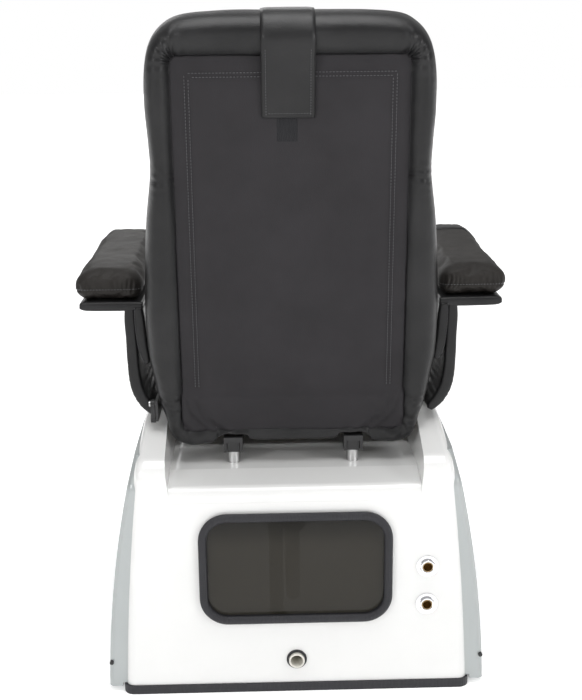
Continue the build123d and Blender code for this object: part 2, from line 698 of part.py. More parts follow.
with BuildPart() as seat_frame:
    for y in CROSS_YS:
        box((-FRAME_HALF, FRAME_HALF), (y, y + CROSS_WIDTH), (RUNNER_Z[1], BOARD_Z[0]))
    for side in (-1, 1):
        for y in CROSS_YS[1:]:
            inside, outside = side * FRAME_HALF, side * 332
            box(sorted((inside, side * 247)), (y, y + CROSS_WIDTH), (RUNNER_Z[1], ARM_FOOT_Z))
            box(sorted((inside, outside)), (y, y + CROSS_WIDTH), (ARM_FOOT_Z - 5, ARM_FOOT_Z))
        box(sorted((side * FRAME_HALF, side * (FRAME_HALF - 12))), (CROSS_YS[0], CROSS_YS[-1]),
            (RUNNER_Z[1], BOARD_Z[0]))
        box(sorted((side * BRACKET_X[0], side * BRACKET_X[1])), (CROSS_YS[-1] + CROSS_WIDTH, HINGE_AT[0]),
            (HINGE_AT[1] - HINGE_EYE_R, HINGE_AT[1] + HINGE_EYE_R))
        with Locations((side * sum(BRACKET_X) / 2, *HINGE_AT)):
            Cylinder(radius=HINGE_EYE_R, height=BRACKET_X[1] - BRACKET_X[0], rotation=(0, 90, 0))
    box((285.5, 291), (CROSS_YS[-1], LEVER_PIVOT[0] + 8), (ARM_FOOT_Z, LEVER_PIVOT[1] + 8))
    for side in (-1, 1):
        with Locations((side * sum(BRACKET_X) / 2, *HINGE_AT)):
            Cylinder(radius=HINGE_PIN_R, height=30, rotation=(0, 90, 0), mode=Mode.SUBTRACT)
save(seat_frame, "seat_frame")

with BuildPart() as recline_pins:
    for side in (-1, 1):
        with Locations((side * 169, *HINGE_AT)):
            Cylinder(radius=HINGE_PIN_R, height=18, rotation=(0, 90, 0))
    with Locations((297.5, *LEVER_PIVOT)):
        Cylinder(radius=LEVER_PIN_R, height=13, rotation=(0, 90, 0))
    with Locations((303, *LEVER_PIVOT)):
        Cylinder(radius=LEVER_PIN_R + 2.5, height=3, rotation=(0, 90, 0))
save(recline_pins, "recline_pins")

with BuildPart() as seat_board:
    box((-FRAME_HALF, FRAME_HALF), (SEAT_YS[0] + 20, SEAT_YS[1]), BOARD_Z)
    fillet(seat_board.edges().filter_by(Axis.Z), 20)
save(seat_board, "seat_board")

with BuildPart() as seat_cushion:
    box((-CUSHION_HALF, CUSHION_HALF), SEAT_YS, (BOARD_Z[1], SEAT_TOP))
    fillet(seat_cushion.edges().filter_by(Axis.Z), 30)
    fillet(seat_cushion.faces().sort_by(Axis.Z)[-1].edges(), 24)
save(seat_cushion, "seat_cushion")

with BuildPart() as recline_lever:
    with Locations((sum(LEVER_X) / 2, *LEVER_PIVOT)):
        Cylinder(radius=9, height=LEVER_X[1] - LEVER_X[0], rotation=(0, 90, 0))
    with Locations((sum(LEVER_X) / 2, LEVER_PIVOT[0], LEVER_PIVOT[1] - LEVER_REACH)):
        Cylinder(radius=LEVER_TIP_R, height=LEVER_X[1] - LEVER_X[0], rotation=(0, 90, 0))
    box(LEVER_X, (LEVER_PIVOT[0] - 8, LEVER_PIVOT[0] + 8), (LEVER_PIVOT[1] - LEVER_REACH, LEVER_PIVOT[1]))
    with Locations((sum(LEVER_X) / 2, *LEVER_PIVOT)):
        Cylinder(radius=LEVER_PIN_R + 0.06, height=40, rotation=(0, 90, 0), mode=Mode.SUBTRACT)
save(recline_lever, "recline_lever")


# ---------------------------------------------------------------- arms
with BuildPart() as arm_side_left:
    with BuildSketch(Plane.XZ) as arm:
        with BuildLine():
            Line((ARM_INNER, PAD_Z), (ARM_OUTER, PAD_Z))
            Polyline((ARM_OUTER, PAD_Z), (ARM_OUTER, 790), (346, 690))
            ThreePointArc((346, 690), (334, 614), (292, ARM_FOOT_Z))
            Line((292, ARM_FOOT_Z), (292, 594))
            ThreePointArc((292, 594), (312, 628), (321, 690))
            Line((321, 690), (ARM_INNER, PAD_Z))
        make_face()
        with BuildLine():
            Polyline((FLANGE_X[0], PAD_Z), (FLANGE_X[1], PAD_Z), (FLANGE_X[1] - 4, 812),
                     (FLANGE_X[1] - 22, FLANGE_Z),
                     (330, FLANGE_Z), (324, 694), (312, 694), (FLANGE_X[0], 800), close=True)
        make_face()
    extrude(amount=ARM_YS[1] - ARM_YS[0])
    arm_side_left.part.position = (0, ARM_YS[1], 0)
save(arm_side_left, "arm_side_left")

with BuildPart() as arm_pad_left:
    with BuildSketch(Plane.YZ.offset(PAD_X[0])):
        Polygon((PAD_YS[0], PAD_Z), (PAD_YS[1], PAD_Z), (PAD_YS[1], PAD_REAR_TOP), (PAD_YS[0], PAD_FRONT_TOP),
                align=None)
    extrude(amount=PAD_X[1] - PAD_X[0])
    fillet(arm_pad_left.faces().sort_by(Axis.Y)[0].edges().filter_by(Axis.Z), 40)
    fillet(arm_pad_left.faces().sort_by(Axis.Z)[-1].edges(), 16)
save(arm_pad_left, "arm_pad_left")

for piece, name in ((arm_side_left, "arm_side_right"), (arm_pad_left, "arm_pad_right")):
    with BuildPart() as other_side:
        add(mirror(piece.part, about=Plane.YZ, mode=Mode.PRIVATE))
    save(other_side, name)

with BuildPart() as remote_strap:
    box((-PAD_X[1] - STRAP_T, -PAD_X[0] + STRAP_T), STRAP_YS, (PAD_Z, PAD_FRONT_TOP + 1))
    fillet(remote_strap.edges().filter_by(Axis.Y).sort_by(Axis.Z)[-2:], 16)
    add(other_side.part, mode=Mode.SUBTRACT)
save(remote_strap, "remote_strap")

# ---------------------------------------------------------------- back
BACK = Plane(origin=(0, *BACK_FOOT), x_dir=(1, 0, 0),
             z_dir=(0, -cos(radians(BACK_LEAN)), sin(radians(BACK_LEAN))))
BACK_OUT = Axis(BACK.origin, BACK.z_dir)

with BuildPart(BACK) as back_border:
    with BuildSketch(BACK):
        with BuildLine() as half:
            Polyline((0, SKIRT_V), (SKIRT_HALF, SKIRT_V), (168, 3), (215, 0))
            Spline((215, 0), (257, 31), (278, 95), (297, 217), (295, 327), (273, 584), (276, 700), (271, 775))
            ThreePointArc((271, 775), (241, 849), (172, BACK_TOP))
            Line((172, BACK_TOP), (0, BACK_TOP))
            mirror(about=Plane.YZ)
        make_face()
    extrude(amount=BORDER_DEPTH)
    with BuildSketch(BACK):
        with Locations((0, sum(OPENING_V) / 2)):
            RectangleRounded(2 * OPENING_HALF, OPENING_V[1] - OPENING_V[0], OPENING_R)
    extrude(amount=BORDER_DEPTH, mode=Mode.SUBTRACT)
    box((-SKIRT_HALF, SKIRT_HALF), (-1, OPENING_V[0] + 1), (SKIRT_T, BORDER_DEPTH + 1), mode=Mode.SUBTRACT)
    box((-OPENING_HALF, OPENING_HALF), (-20, OPENING_V[0] + OPENING_R), (SKIRT_T, BORDER_DEPTH + 1),
        mode=Mode.SUBTRACT)
    for side in (-1, 1):
        box(sorted((side * SKIRT_HALF, side * OPENING_HALF)), (-20, OPENING_V[0] + 1),
            (CORNER_SKIRT_T, BORDER_DEPTH + 1), mode=Mode.SUBTRACT)
save(back_border, "back_border")

with BuildPart(BACK) as back_rear_panel:
    box((0.5 - OPENING_HALF, OPENING_HALF - 0.5), (OPENING_V[0] + 0.5, OPENING_V[1] - 0.5), PANEL_W)
    fillet(back_rear_panel.edges().filter_by(BACK_OUT), OPENING_R)
save(back_rear_panel, "back_rear_panel")

with BuildPart(BACK) as back_front_pad:
    box((0.5 - OPENING_HALF, OPENING_HALF - 0.5), (OPENING_V[0] + 0.5, OPENING_V[1] - 0.5), PAD_W)
    fillet(back_front_pad.edges().filter_by(BACK_OUT), OPENING_R)
    fillet(back_front_pad.faces().sort_by(BACK_OUT)[-1].edges(), 12)
save(back_front_pad, "back_front_pad")

with BuildPart(BACK) as back_frame:
    for side in (-1, 1):
        box(sorted((side * UPRIGHT_X[0], side * UPRIGHT_X[1])), (FRAME_V[0], FRAME_V[3]), FRAME_W)
        box(sorted((side * KNUCKLE_X[0], side * KNUCKLE_X[1])), (HINGE[0], FRAME_V[1]),
            (HINGE[1] + 3, FRAME_W[1]))
        with Locations((side * sum(KNUCKLE_X) / 2, *HINGE)):
            Cylinder(radius=HINGE_EYE_R, height=KNUCKLE_X[1] - KNUCKLE_X[0], rotation=(0, 90, 0))
            Cylinder(radius=HINGE_PIN_R + 0.06, height=20, rotation=(0, 90, 0), mode=Mode.SUBTRACT)
    for low, high in (FRAME_V[:2], FRAME_V[2:]):
        box((-UPRIGHT_X[1], UPRIGHT_X[1]), (low, high), FRAME_W)
    for side in (-1, 1):
        with Locations((side * TRACK_X, FRAME_V[3] / 2, TRACK_W)):
            Cylinder(radius=TRACK_R, height=FRAME_V[3], rotation=(90, 0, 0), mode=Mode.SUBTRACT)
save(back_frame, "back_frame")

with BuildPart(BACK) as massage_rails:
    for side in (-1, 1):
        with Locations((side * TRACK_X, (FRAME_V[0] + FRAME_V[3]) / 2, TRACK_W)):
            Cylinder(radius=TRACK_R, height=FRAME_V[3] - FRAME_V[0], rotation=(90, 0, 0))
save(massage_rails, "massage_rails")

with BuildPart(BACK) as massage_carriage:
    box((-90, 90), CARRIAGE_V, (22, 50))
    for side in (-1, 1):
        box(sorted((side * 80, side * 88)), (CARRIAGE_V[1] - 5, ROLLER_V + 10), (34, 56))
        with Locations((side * TRACK_X, sum(CARRIAGE_V) / 2, TRACK_W)):
            Cylinder(radius=TRACK_R + 0.08, height=60, rotation=(90, 0, 0), mode=Mode.SUBTRACT)
    with Locations((0, ROLLER_V, ROLLER_W)):
        Cylinder(radius=4, height=176, rotation=(0, 90, 0))
save(massage_carriage, "massage_carriage")

with BuildPart(BACK) as massage_rollers:
    for side in (-1, 1):
        with Locations((side * sum(ROLLER_X) / 2, ROLLER_V, ROLLER_W)):
            Cylinder(radius=ROLLER_R, height=ROLLER_X[1] - ROLLER_X[0], rotation=(0, 90, 0))
            Cylinder(radius=4.06, height=60, rotation=(0, 90, 0), mode=Mode.SUBTRACT)
    with Locations((0, ROLLER_V, ROLLER_W)):
        Cylinder(radius=9, height=2 * ROLLER_X[0], rotation=(0, 90, 0))
        Cylinder(radius=4.06, height=70, rotation=(0, 90, 0), mode=Mode.SUBTRACT)
save(massage_rollers, "massage_rollers")

with BuildPart(BACK) as head_pillow:
    box((-150, 160), PILLOW_V, (PAD_W[1] + 0.5, PAD_W[1] + 50))
    fillet(head_pillow.faces().sort_by(BACK_OUT)[-1].edges(), 24)
save(head_pillow, "head_pillow")

with BuildPart(BACK) as pillow_strap:
    left, right, low = PILLOW_STRAP
    top = BACK_TOP + STRAP_SKIN
    box((left, right), (low, top), (-STRAP_SKIN, 0))
    box((left, right), (BACK_TOP, top), (-STRAP_SKIN, BORDER_DEPTH + STRAP_SKIN))
    box((left, right), (OPENING_V[1] + 0.5, top), (BORDER_DEPTH, BORDER_DEPTH + STRAP_SKIN))
    box((left, right), (OPENING_V[1] + 0.5, PILLOW_V[1]), (BORDER_DEPTH, PAD_W[1] + 0.5))
save(pillow_strap, "pillow_strap")

with BuildPart(BACK) as pillow_patch:
    left, right, low = PILLOW_PATCH
    box((left, right), (low, PILLOW_STRAP[2] + 30), (PANEL_W[0] - 1.5, PANEL_W[0]))
save(pillow_patch, "pillow_patch")
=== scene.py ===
"""The look of the pedicure spa chair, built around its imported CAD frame. Metres, in the CAD's own frame."""

import json
import math

import bmesh
import bpy
from mathutils import Matrix, Vector, noise
from mathutils.bvhtree import BVHTree


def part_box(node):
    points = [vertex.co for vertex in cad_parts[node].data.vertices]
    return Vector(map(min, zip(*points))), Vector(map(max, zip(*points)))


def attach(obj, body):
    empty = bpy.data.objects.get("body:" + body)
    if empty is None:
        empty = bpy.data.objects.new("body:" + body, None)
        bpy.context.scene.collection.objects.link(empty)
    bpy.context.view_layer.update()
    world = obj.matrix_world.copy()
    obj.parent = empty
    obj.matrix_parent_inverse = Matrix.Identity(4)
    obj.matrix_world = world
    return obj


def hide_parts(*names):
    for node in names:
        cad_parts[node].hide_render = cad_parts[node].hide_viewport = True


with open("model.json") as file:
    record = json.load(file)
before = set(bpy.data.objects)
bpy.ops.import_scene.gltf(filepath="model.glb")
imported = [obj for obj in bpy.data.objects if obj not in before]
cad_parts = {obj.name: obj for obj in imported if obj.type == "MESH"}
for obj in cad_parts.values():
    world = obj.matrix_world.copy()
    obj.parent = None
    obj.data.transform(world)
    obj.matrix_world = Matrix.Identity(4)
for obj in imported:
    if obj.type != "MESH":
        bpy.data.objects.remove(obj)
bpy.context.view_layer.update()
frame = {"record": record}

# ---------------------------------------------------------------- the back's leaning plane
LEAN = math.radians(8.1)
BACK_FOOT_Y, BACK_FOOT_Z = 0.575, 0.520
ACROSS = Vector((1, 0, 0))
UP_BACK = Vector((0, math.sin(LEAN), math.cos(LEAN)))
TO_SITTER = Vector((0, -math.cos(LEAN), math.sin(LEAN)))


def on_back(x, v, w):
    """A point given across the back, up it, and in from its rear face towards the sitter."""
    return Vector((0, BACK_FOOT_Y, BACK_FOOT_Z)) + ACROSS * x + UP_BACK * v + TO_SITTER * w


# ---------------------------------------------------------------- materials
def new_material(name, colour, roughness, metallic=0.0, **sockets):
    """A Principled material; further sockets are given by name with _ for spaces."""
    material = bpy.data.materials.new(name)
    material.use_nodes = True
    shader = material.node_tree.nodes["Principled BSDF"]
    shader.inputs["Base Color"].default_value = (*colour, 1)
    shader.inputs["Roughness"].default_value = roughness
    shader.inputs["Metallic"].default_value = metallic
    for socket, value in sockets.items():
        shader.inputs[socket.replace("_", " ")].default_value = value
    return material


def add_node(material, kind, **settings):
    """A node with its inputs set by name."""
    node = material.node_tree.nodes.new(kind)
    for key, value in settings.items():
        node.inputs[key.replace("_", " ")].default_value = value
    return node


def object_coordinates(material, stretch=(1, 1, 1)):
    """Object coordinates, stretched along each axis."""
    coordinates = material.node_tree.nodes.new("ShaderNodeTexCoord")
    mapping = add_node(material, "ShaderNodeMapping", Scale=stretch)
    material.node_tree.links.new(coordinates.outputs["Object"], mapping.inputs["Vector"])
    return mapping.outputs["Vector"]


def vary_colour(material, dark, light, scale, detail=4.0, stretch=(1, 1, 1)):
    """Mottles the base colour between two values with soft noise."""
    links = material.node_tree.links
    pattern = add_node(material, "ShaderNodeTexNoise", Scale=scale, Detail=detail)
    ramp = material.node_tree.nodes.new("ShaderNodeValToRGB")
    ramp.color_ramp.elements[0].position, ramp.color_ramp.elements[1].position = 0.35, 0.68
    ramp.color_ramp.elements[0].color = (*dark, 1)
    ramp.color_ramp.elements[1].color = (*light, 1)
    links.new(object_coordinates(material, stretch), pattern.inputs["Vector"])
    links.new(pattern.outputs["Fac"], ramp.inputs["Fac"])
    links.new(ramp.outputs["Color"], material.node_tree.nodes["Principled BSDF"].inputs["Base Color"])


def vary_roughness(material, low, high, scale, detail=3.0):
    """Varies roughness between two values with soft noise."""
    links = material.node_tree.links
    pattern = add_node(material, "ShaderNodeTexNoise", Scale=scale, Detail=detail)
    span = add_node(material, "ShaderNodeMapRange", To_Min=low, To_Max=high)
    links.new(object_coordinates(material), pattern.inputs["Vector"])
    links.new(pattern.outputs["Fac"], span.inputs["Value"])
    links.new(span.outputs["Result"], material.node_tree.nodes["Principled BSDF"].inputs["Roughness"])


def add_bump(material, layers):
    """Chains bump layers: each is (texture node, output name, strength, distance)."""
    links = material.node_tree.links
    below = None
    for texture, output, strength, distance in layers:
        bump = add_node(material, "ShaderNodeBump", Strength=strength, Distance=distance)
        links.new(texture.outputs[output], bump.inputs["Height"])
        if below:
            links.new(below.outputs["Normal"], bump.inputs["Normal"])
        below = bump
    links.new(below.outputs["Normal"], material.node_tree.nodes["Principled BSDF"].inputs["Normal"])


def texture(material, kind, stretch=(1, 1, 1), **settings):
    """A procedural texture laid in object coordinates."""
    node = add_node(material, kind, **settings)
    material.node_tree.links.new(object_coordinates(material, stretch), node.inputs["Vector"])
    return node


def leather(name, dark, light, roughness, grain, crease):
    """Upholstery leather: mottled colour, pebbled grain and soft handling creases."""
    material = new_material(name, dark, roughness, Specular_IOR_Level=0.30)
    vary_colour(material, dark, light, 9)
    vary_roughness(material, roughness - 0.05, roughness + 0.07, 30)
    pebbles = texture(material, "ShaderNodeTexVoronoi", Scale=620)
    pores = texture(material, "ShaderNodeTexNoise", Scale=1500, Detail=2)
    creases = texture(material, "ShaderNodeTexNoise", Scale=38, Detail=5, Roughness=0.6)
    add_bump(material, [(creases, "Fac", crease, 0.0022), (pebbles, "Distance", grain, 0.0006),
                        (pores, "Fac", grain * 0.5, 0.0003)])
    return material


def ribbed(name, colour, roughness, pitch):
    """Rubber with fine upright ribs across its run."""
    material = new_material(name, colour, roughness, Specular_IOR_Level=0.4)
    vary_roughness(material, roughness - 0.06, roughness + 0.08, 60)
    ribs = texture(material, "ShaderNodeTexWave", stretch=(1, 1, 0.001), Scale=0.32 / pitch, Distortion=0)
    ribs.bands_direction = "DIAGONAL"
    grit = texture(material, "ShaderNodeTexNoise", Scale=900, Detail=2)
    add_bump(material, [(ribs, "Fac", 0.55, 0.0008), (grit, "Fac", 0.2, 0.0003)])
    return material


def plain_part(name, colour, roughness, metallic=0.0, grain=(400, 0.08, 0.0003), **sockets):
    """A moulded, painted or machined surface: even colour, faint texture, uneven gloss."""
    material = new_material(name, colour, roughness, metallic, **sockets)
    vary_roughness(material, max(roughness - 0.03, 0.02), roughness + 0.05, 14)
    vary_colour(material, tuple(c * 0.965 for c in colour), colour, 5)
    scale, strength, distance = grain
    grit = texture(material, "ShaderNodeTexNoise", Scale=scale, Detail=3)
    add_bump(material, [(grit, "Fac", strength, distance)])
    return material


def brushed(name, colour, roughness, stretch):
    """Metal with fine scratches along one axis."""
    material = new_material(name, colour, roughness, 1.0)
    lines = texture(material, "ShaderNodeTexNoise", stretch=stretch, Scale=500, Detail=3)
    add_bump(material, [(lines, "Fac", 0.12, 0.0003)])
    vary_roughness(material, roughness - 0.06, roughness + 0.08, 40)
    return material


def wood(name, dark, light):
    """Sealed plywood with long grain across the chair."""
    material = new_material(name, dark, 0.5)
    vary_colour(material, dark, light, 40, 8, stretch=(0.15, 1, 1))
    rings = texture(material, "ShaderNodeTexNoise", stretch=(0.1, 1, 1), Scale=220, Detail=5)
    add_bump(material, [(rings, "Fac", 0.25, 0.0005)])
    return material


SURFACES = {
    "white_gelcoat": plain_part("white_gelcoat", (0.83, 0.83, 0.82), 0.17, grain=(90, 0.03, 0.0006),
                                Coat_Weight=0.6, Coat_Roughness=0.05),
    "grey_panel": plain_part("grey_panel", (0.42, 0.445, 0.445), 0.34, 0.25, grain=(700, 0.12, 0.0002),
                             Coat_Weight=0.25, Coat_Roughness=0.2),
    "black_rubber": ribbed("black_rubber", (0.022, 0.022, 0.026), 0.5, 0.004),
    "smoked_acrylic": plain_part("smoked_acrylic", (0.026, 0.023, 0.018), 0.05, grain=(60, 0.02, 0.0003),
                                 Alpha=0.87, Specular_IOR_Level=0.22),
    "black_leather": leather("black_leather", (0.008, 0.008, 0.0085), (0.015, 0.0148, 0.0155),
                             0.33, 0.34, 0.5),
    "charcoal_vinyl": leather("charcoal_vinyl", (0.015, 0.0135, 0.0155), (0.019, 0.0172, 0.0198),
                              0.62, 0.22, 0.12),
    "chrome": plain_part("chrome", (0.86, 0.86, 0.88), 0.06, 1.0, grain=(200, 0.02, 0.0002)),
    "brushed_steel": brushed("brushed_steel", (0.62, 0.62, 0.62), 0.3, (1, 1, 0.02)),
    "black_steel": plain_part("black_steel", (0.016, 0.016, 0.017), 0.42, grain=(900, 0.3, 0.0003)),
    "brass": brushed("brass", (0.36, 0.25, 0.12), 0.36, (0.02, 1, 1)),
    "white_pvc": plain_part("white_pvc", (0.74, 0.72, 0.66), 0.32, grain=(300, 0.08, 0.0003)),
    "grey_plastic": plain_part("grey_plastic", (0.16, 0.16, 0.15), 0.5, grain=(800, 0.25, 0.0004)),
    "black_plastic": plain_part("black_plastic", (0.012, 0.012, 0.013), 0.4, grain=(900, 0.25, 0.0003)),
    "plywood": wood("plywood", (0.36, 0.23, 0.12), (0.52, 0.37, 0.21)),
    "hook_tape": ribbed("hook_tape", (0.012, 0.012, 0.014), 0.85, 0.002),
}

def paint_shade_upwards(material, dark, light, low, high):
    """Paints shade into a colour: light at one height, fading to dark at another."""
    links = material.node_tree.links
    split = add_node(material, "ShaderNodeSeparateXYZ")
    span = add_node(material, "ShaderNodeMapRange", From_Min=low, From_Max=high)
    ramp = material.node_tree.nodes.new("ShaderNodeValToRGB")
    ramp.color_ramp.elements[0].color, ramp.color_ramp.elements[1].color = (*light, 1), (*dark, 1)
    links.new(object_coordinates(material), split.inputs["Vector"])
    links.new(split.outputs["Z"], span.inputs["Value"])
    links.new(span.outputs["Result"], ramp.inputs["Fac"])
    links.new(ramp.outputs["Color"], material.node_tree.nodes["Principled BSDF"].inputs["Base Color"])


# Painted shade on the window: the pane darkens towards its top, standing in for the gasket's shadow and the
# dark interior behind it.
paint_shade_upwards(SURFACES["smoked_acrylic"], (0.006, 0.005, 0.003), (0.028, 0.025, 0.019), 0.335, 0.385)
# Painted sheen: the arm pads get a lighter copy of the black leather with weaker gloss, its lighter colour
# standing in for the light the arm tops reflect.
ARM_SHEEN_LEATHER = leather("arm_leather_painted_sheen", (0.018, 0.0162, 0.0148), (0.027, 0.0245, 0.0225), 0.50, 0.34, 0.45)
ARM_SHEEN_LEATHER.node_tree.nodes["Principled BSDF"].inputs["Specular IOR Level"].default_value = 0.16
STITCH = plain_part("stitch_thread", (0.085, 0.085, 0.09), 0.6, grain=(2000, 0.3, 0.0002))

for entry in frame["record"]["subparts"]:
    node = bpy.data.objects.get(entry["node"])
    if node:
        node.data.materials.clear()
        node.data.materials.append(SURFACES[entry["material_slot"]])


# ---------------------------------------------------------------- mesh helpers
def piece_from(name, verts, faces, slot, body, smooth=True):
    """A mesh piece with its material, riding on its body."""
    mesh = bpy.data.meshes.new(name)
    mesh.from_pydata([tuple(v) for v in verts], [], faces)
    mesh.validate()
    piece = bpy.data.objects.new(name, mesh)
    bpy.context.collection.objects.link(piece)
    tidy_faces(piece)
    if smooth:
        mesh.shade_smooth()
    mesh.materials.append(SURFACES[slot])
    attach(piece, body)
    return piece


def tidy_faces(piece):
    """Welds coincident points and turns every face outwards."""
    shape = bmesh.new()
    shape.from_mesh(piece.data)
    bmesh.ops.remove_doubles(shape, verts=shape.verts, dist=1e-6)
    bmesh.ops.recalc_face_normals(shape, faces=shape.faces)
    shape.to_mesh(piece.data)
    shape.free()


def ring_faces(rows, columns, closed_rows=True):
    """Quads joining a grid of rows x columns points whose columns close on themselves."""
    last = rows if closed_rows else rows - 1
    return [(r * columns + c, r * columns + (c + 1) % columns,
             (r + 1) % rows * columns + (c + 1) % columns, (r + 1) % rows * columns + c)
            for r in range(last) for c in range(columns)]


def grid_faces(rows, columns):
    """Quads joining an open grid of rows x columns points."""
    return [(r * columns + c, r * columns + c + 1, (r + 1) * columns + c + 1, (r + 1) * columns + c)
            for r in range(rows - 1) for c in range(columns - 1)]


def catmull(points, steps, closed=False):
    """A smooth line through a few points."""
    count = len(points)
    line = []
    for i in range(count if closed else count - 1):
        a, b, c, d = (points[j % count] if closed else points[min(max(j, 0), count - 1)]
                      for j in (i - 1, i, i + 1, i + 2))
        for s in range(steps):
            t = s / steps
            line.append(tuple(0.5 * (2 * q + (r - p) * t + (2 * p - 5 * q + 4 * r - u) * t * t
                                     + (3 * q - p - 3 * r + u) * t ** 3) for p, q, r, u in zip(a, b, c, d)))
    return line if closed else line + [tuple(points[-1])]


def spread_evenly(line, count, closed=False):
    """The same line with its points an equal distance apart."""
    points = [Vector(p) for p in line]
    if closed:
        points.append(points[0])
    ends = [0.0]
    for a, b in zip(points, points[1:]):
        ends.append(ends[-1] + (b - a).length)
    spots = [ends[-1] * i / (count if closed else count - 1) for i in range(count)]
    even, k = [], 0
    for spot in spots:
        while k < len(ends) - 2 and ends[k + 1] < spot:
            k += 1
        t = (spot - ends[k]) / max(ends[k + 1] - ends[k], 1e-9)
        even.append(points[k].lerp(points[k + 1], min(t, 1)))
    return even


def bell(value, centre, width):
    """A smooth bump of height 1."""
    return math.exp(-((value - centre) / width) ** 2)


def wave(point, scale, seed=0):
    """Soft noise between about -1 and 1."""
    return noise.noise(Vector(point) * scale + Vector((seed, seed * 1.7, -seed)))


def stitches(name, line, normal, body, pitch=0.0062, length=0.0042, radius=0.0007):
    """A row of thread stitches lying along a line on a surface."""
    count = max(int(sum((b - a).length for a, b in zip(line, line[1:])) / pitch), 2)
    spots = spread_evenly(line, count)
    verts, faces = [], []
    for here, after in zip(spots, spots[1:]):
        along = (after - here).normalized()
        side = along.cross(normal).normalized()
        base = len(verts)
        for t, r in ((-0.5, 0.25), (-0.25, 1), (0.25, 1), (0.5, 0.25)):
            for a in range(5):
                turn = 2 * math.pi * a / 5
                verts.append(here + along * t * length
                             + (side * math.cos(turn) + normal * math.sin(turn)) * radius * r)
        for row in range(3):
            faces += [(base + row * 5 + a, base + row * 5 + (a + 1) % 5,
                       base + row * 5 + 5 + (a + 1) % 5, base + row * 5 + 5 + a) for a in range(5)]
        faces += [tuple(base + a for a in range(5)), tuple(base + 15 + a for a in reversed(range(5)))]
    row = piece_from(name, verts, faces, "black_leather", body)
    row.data.materials.clear()
    row.data.materials.append(STITCH)
    return row


# ---------------------------------------------------------------- back: padded border
OUTLINE = [(0, .006), (.085, .006), (.101, .019), (.152, .019), (.172, .000), (.206, -.007), (.240, -.003),
           (.259, .014), (.269, .050), (.284, .100), (.296, .165), (.302, .217), (.301, .327), (.290, .474),
           (.276, .578),
           (.276, .640), (.279, .708), (.276, .775), (.264, .826), (.238, .860), (.198, .878), (.120, .8835)]
PANEL_V = (0.034, 0.806)
PANEL_HALF = (0.231, 0.2245)
PANEL_CORNER = 0.012
SEAM_W = 0.011
WAIST_V, LOW_SEAM_V = 0.577, 0.103


def panel_half(v):
    """Half width of the recessed panel at a height up the back."""
    t = (v - PANEL_V[0]) / (PANEL_V[1] - PANEL_V[0])
    return PANEL_HALF[0] + (PANEL_HALF[1] - PANEL_HALF[0]) * t


def seam_point(x, v):
    """The point on the panel's seam nearest to a point outside it."""
    r = PANEL_CORNER
    core_v = min(max(v, PANEL_V[0] + r), PANEL_V[1] - r)
    half = panel_half(core_v) - r
    core = Vector((min(max(x, -half), half), core_v))
    return core + (Vector((x, v)) - core).normalized() * r


def outline_points(count):
    """The back's outline, closed, evenly spaced."""
    right = OUTLINE
    left = [(-x, v) for x, v in reversed(OUTLINE) if x > 0]
    top = [(0, 0.8835)]
    return spread_evenly(catmull(right + top + left, 12, closed=True), count, closed=True)


FOLDS = [((.232, .125), (.214, .070), (.160, .010)), ((.212, .118), (.190, .066), (.138, .020)),
         ((.196, .100), (.170, .056), (.128, .020)), ((.256, .120), (.240, .060), (.200, .004))]


def fold_relief(x, v):
    """The folds that run from the foot of each side seam in towards the slide channels."""
    relief = 0.0
    for i, fold in enumerate(FOLDS):
        for a, b in zip(fold, fold[1:]):
            start, run = Vector(a), Vector(b) - Vector(a)
            spot = Vector((abs(x), v)) - start
            t = min(max(spot.dot(run) / run.length_squared, 0), 1)
            off = (spot - run * t).length
            if off < 0.03:
                side = spot.x * run.y - spot.y * run.x
                puff = 0.0028 * bell(off, 0.006, 0.006) * (side > 0)
                relief += (puff - 0.0030 * bell(off, 0, 0.003)) * (1 - i * 0.12)
    return max(min(relief, 0.004), -0.004)


def border_relief(x, v, u):
    """How far wrinkles, puckers and seams lift the border; u runs from 0 outside to 1 at the seam."""
    spot = Vector((x, v, u * 0.08))
    relief = 0.0014 * wave(spot, 16, 3) + 0.0006 * wave(spot, 55, 5)
    corner = bell(abs(x), 0.235, 0.05) * bell(v, 0.83, 0.055)
    foot = bell(abs(x), 0.225, 0.055) * bell(v, 0.05, 0.07)
    turn = math.atan2(v - 0.775, abs(x) - 0.20)
    relief += 0.0055 * corner * math.sin(turn * 21 + 3 * wave(spot, 14, 8)) * u ** 1.2
    swirl = math.atan2(v - 0.112, abs(x) - 0.20)
    relief += 0.0048 * foot * math.sin(swirl * 13 + 4 * wave(spot, 11, 12)) * min(1, 1.5 * (1 - u) + 0.3)
    relief += fold_relief(x, v) * min(1, 2 * (1 - u) + 0.2)
    for seam_v in (WAIST_V, LOW_SEAM_V):
        if abs(x) > panel_half(seam_v) - 0.01:
            ripple = math.sin((v - seam_v) * 330 + 5 * wave(spot, 30, 17))
            relief -= 0.0032 * bell(v, seam_v, 0.0028)
            relief += 0.0014 * bell(v, seam_v, 0.030) * ripple
    return relief


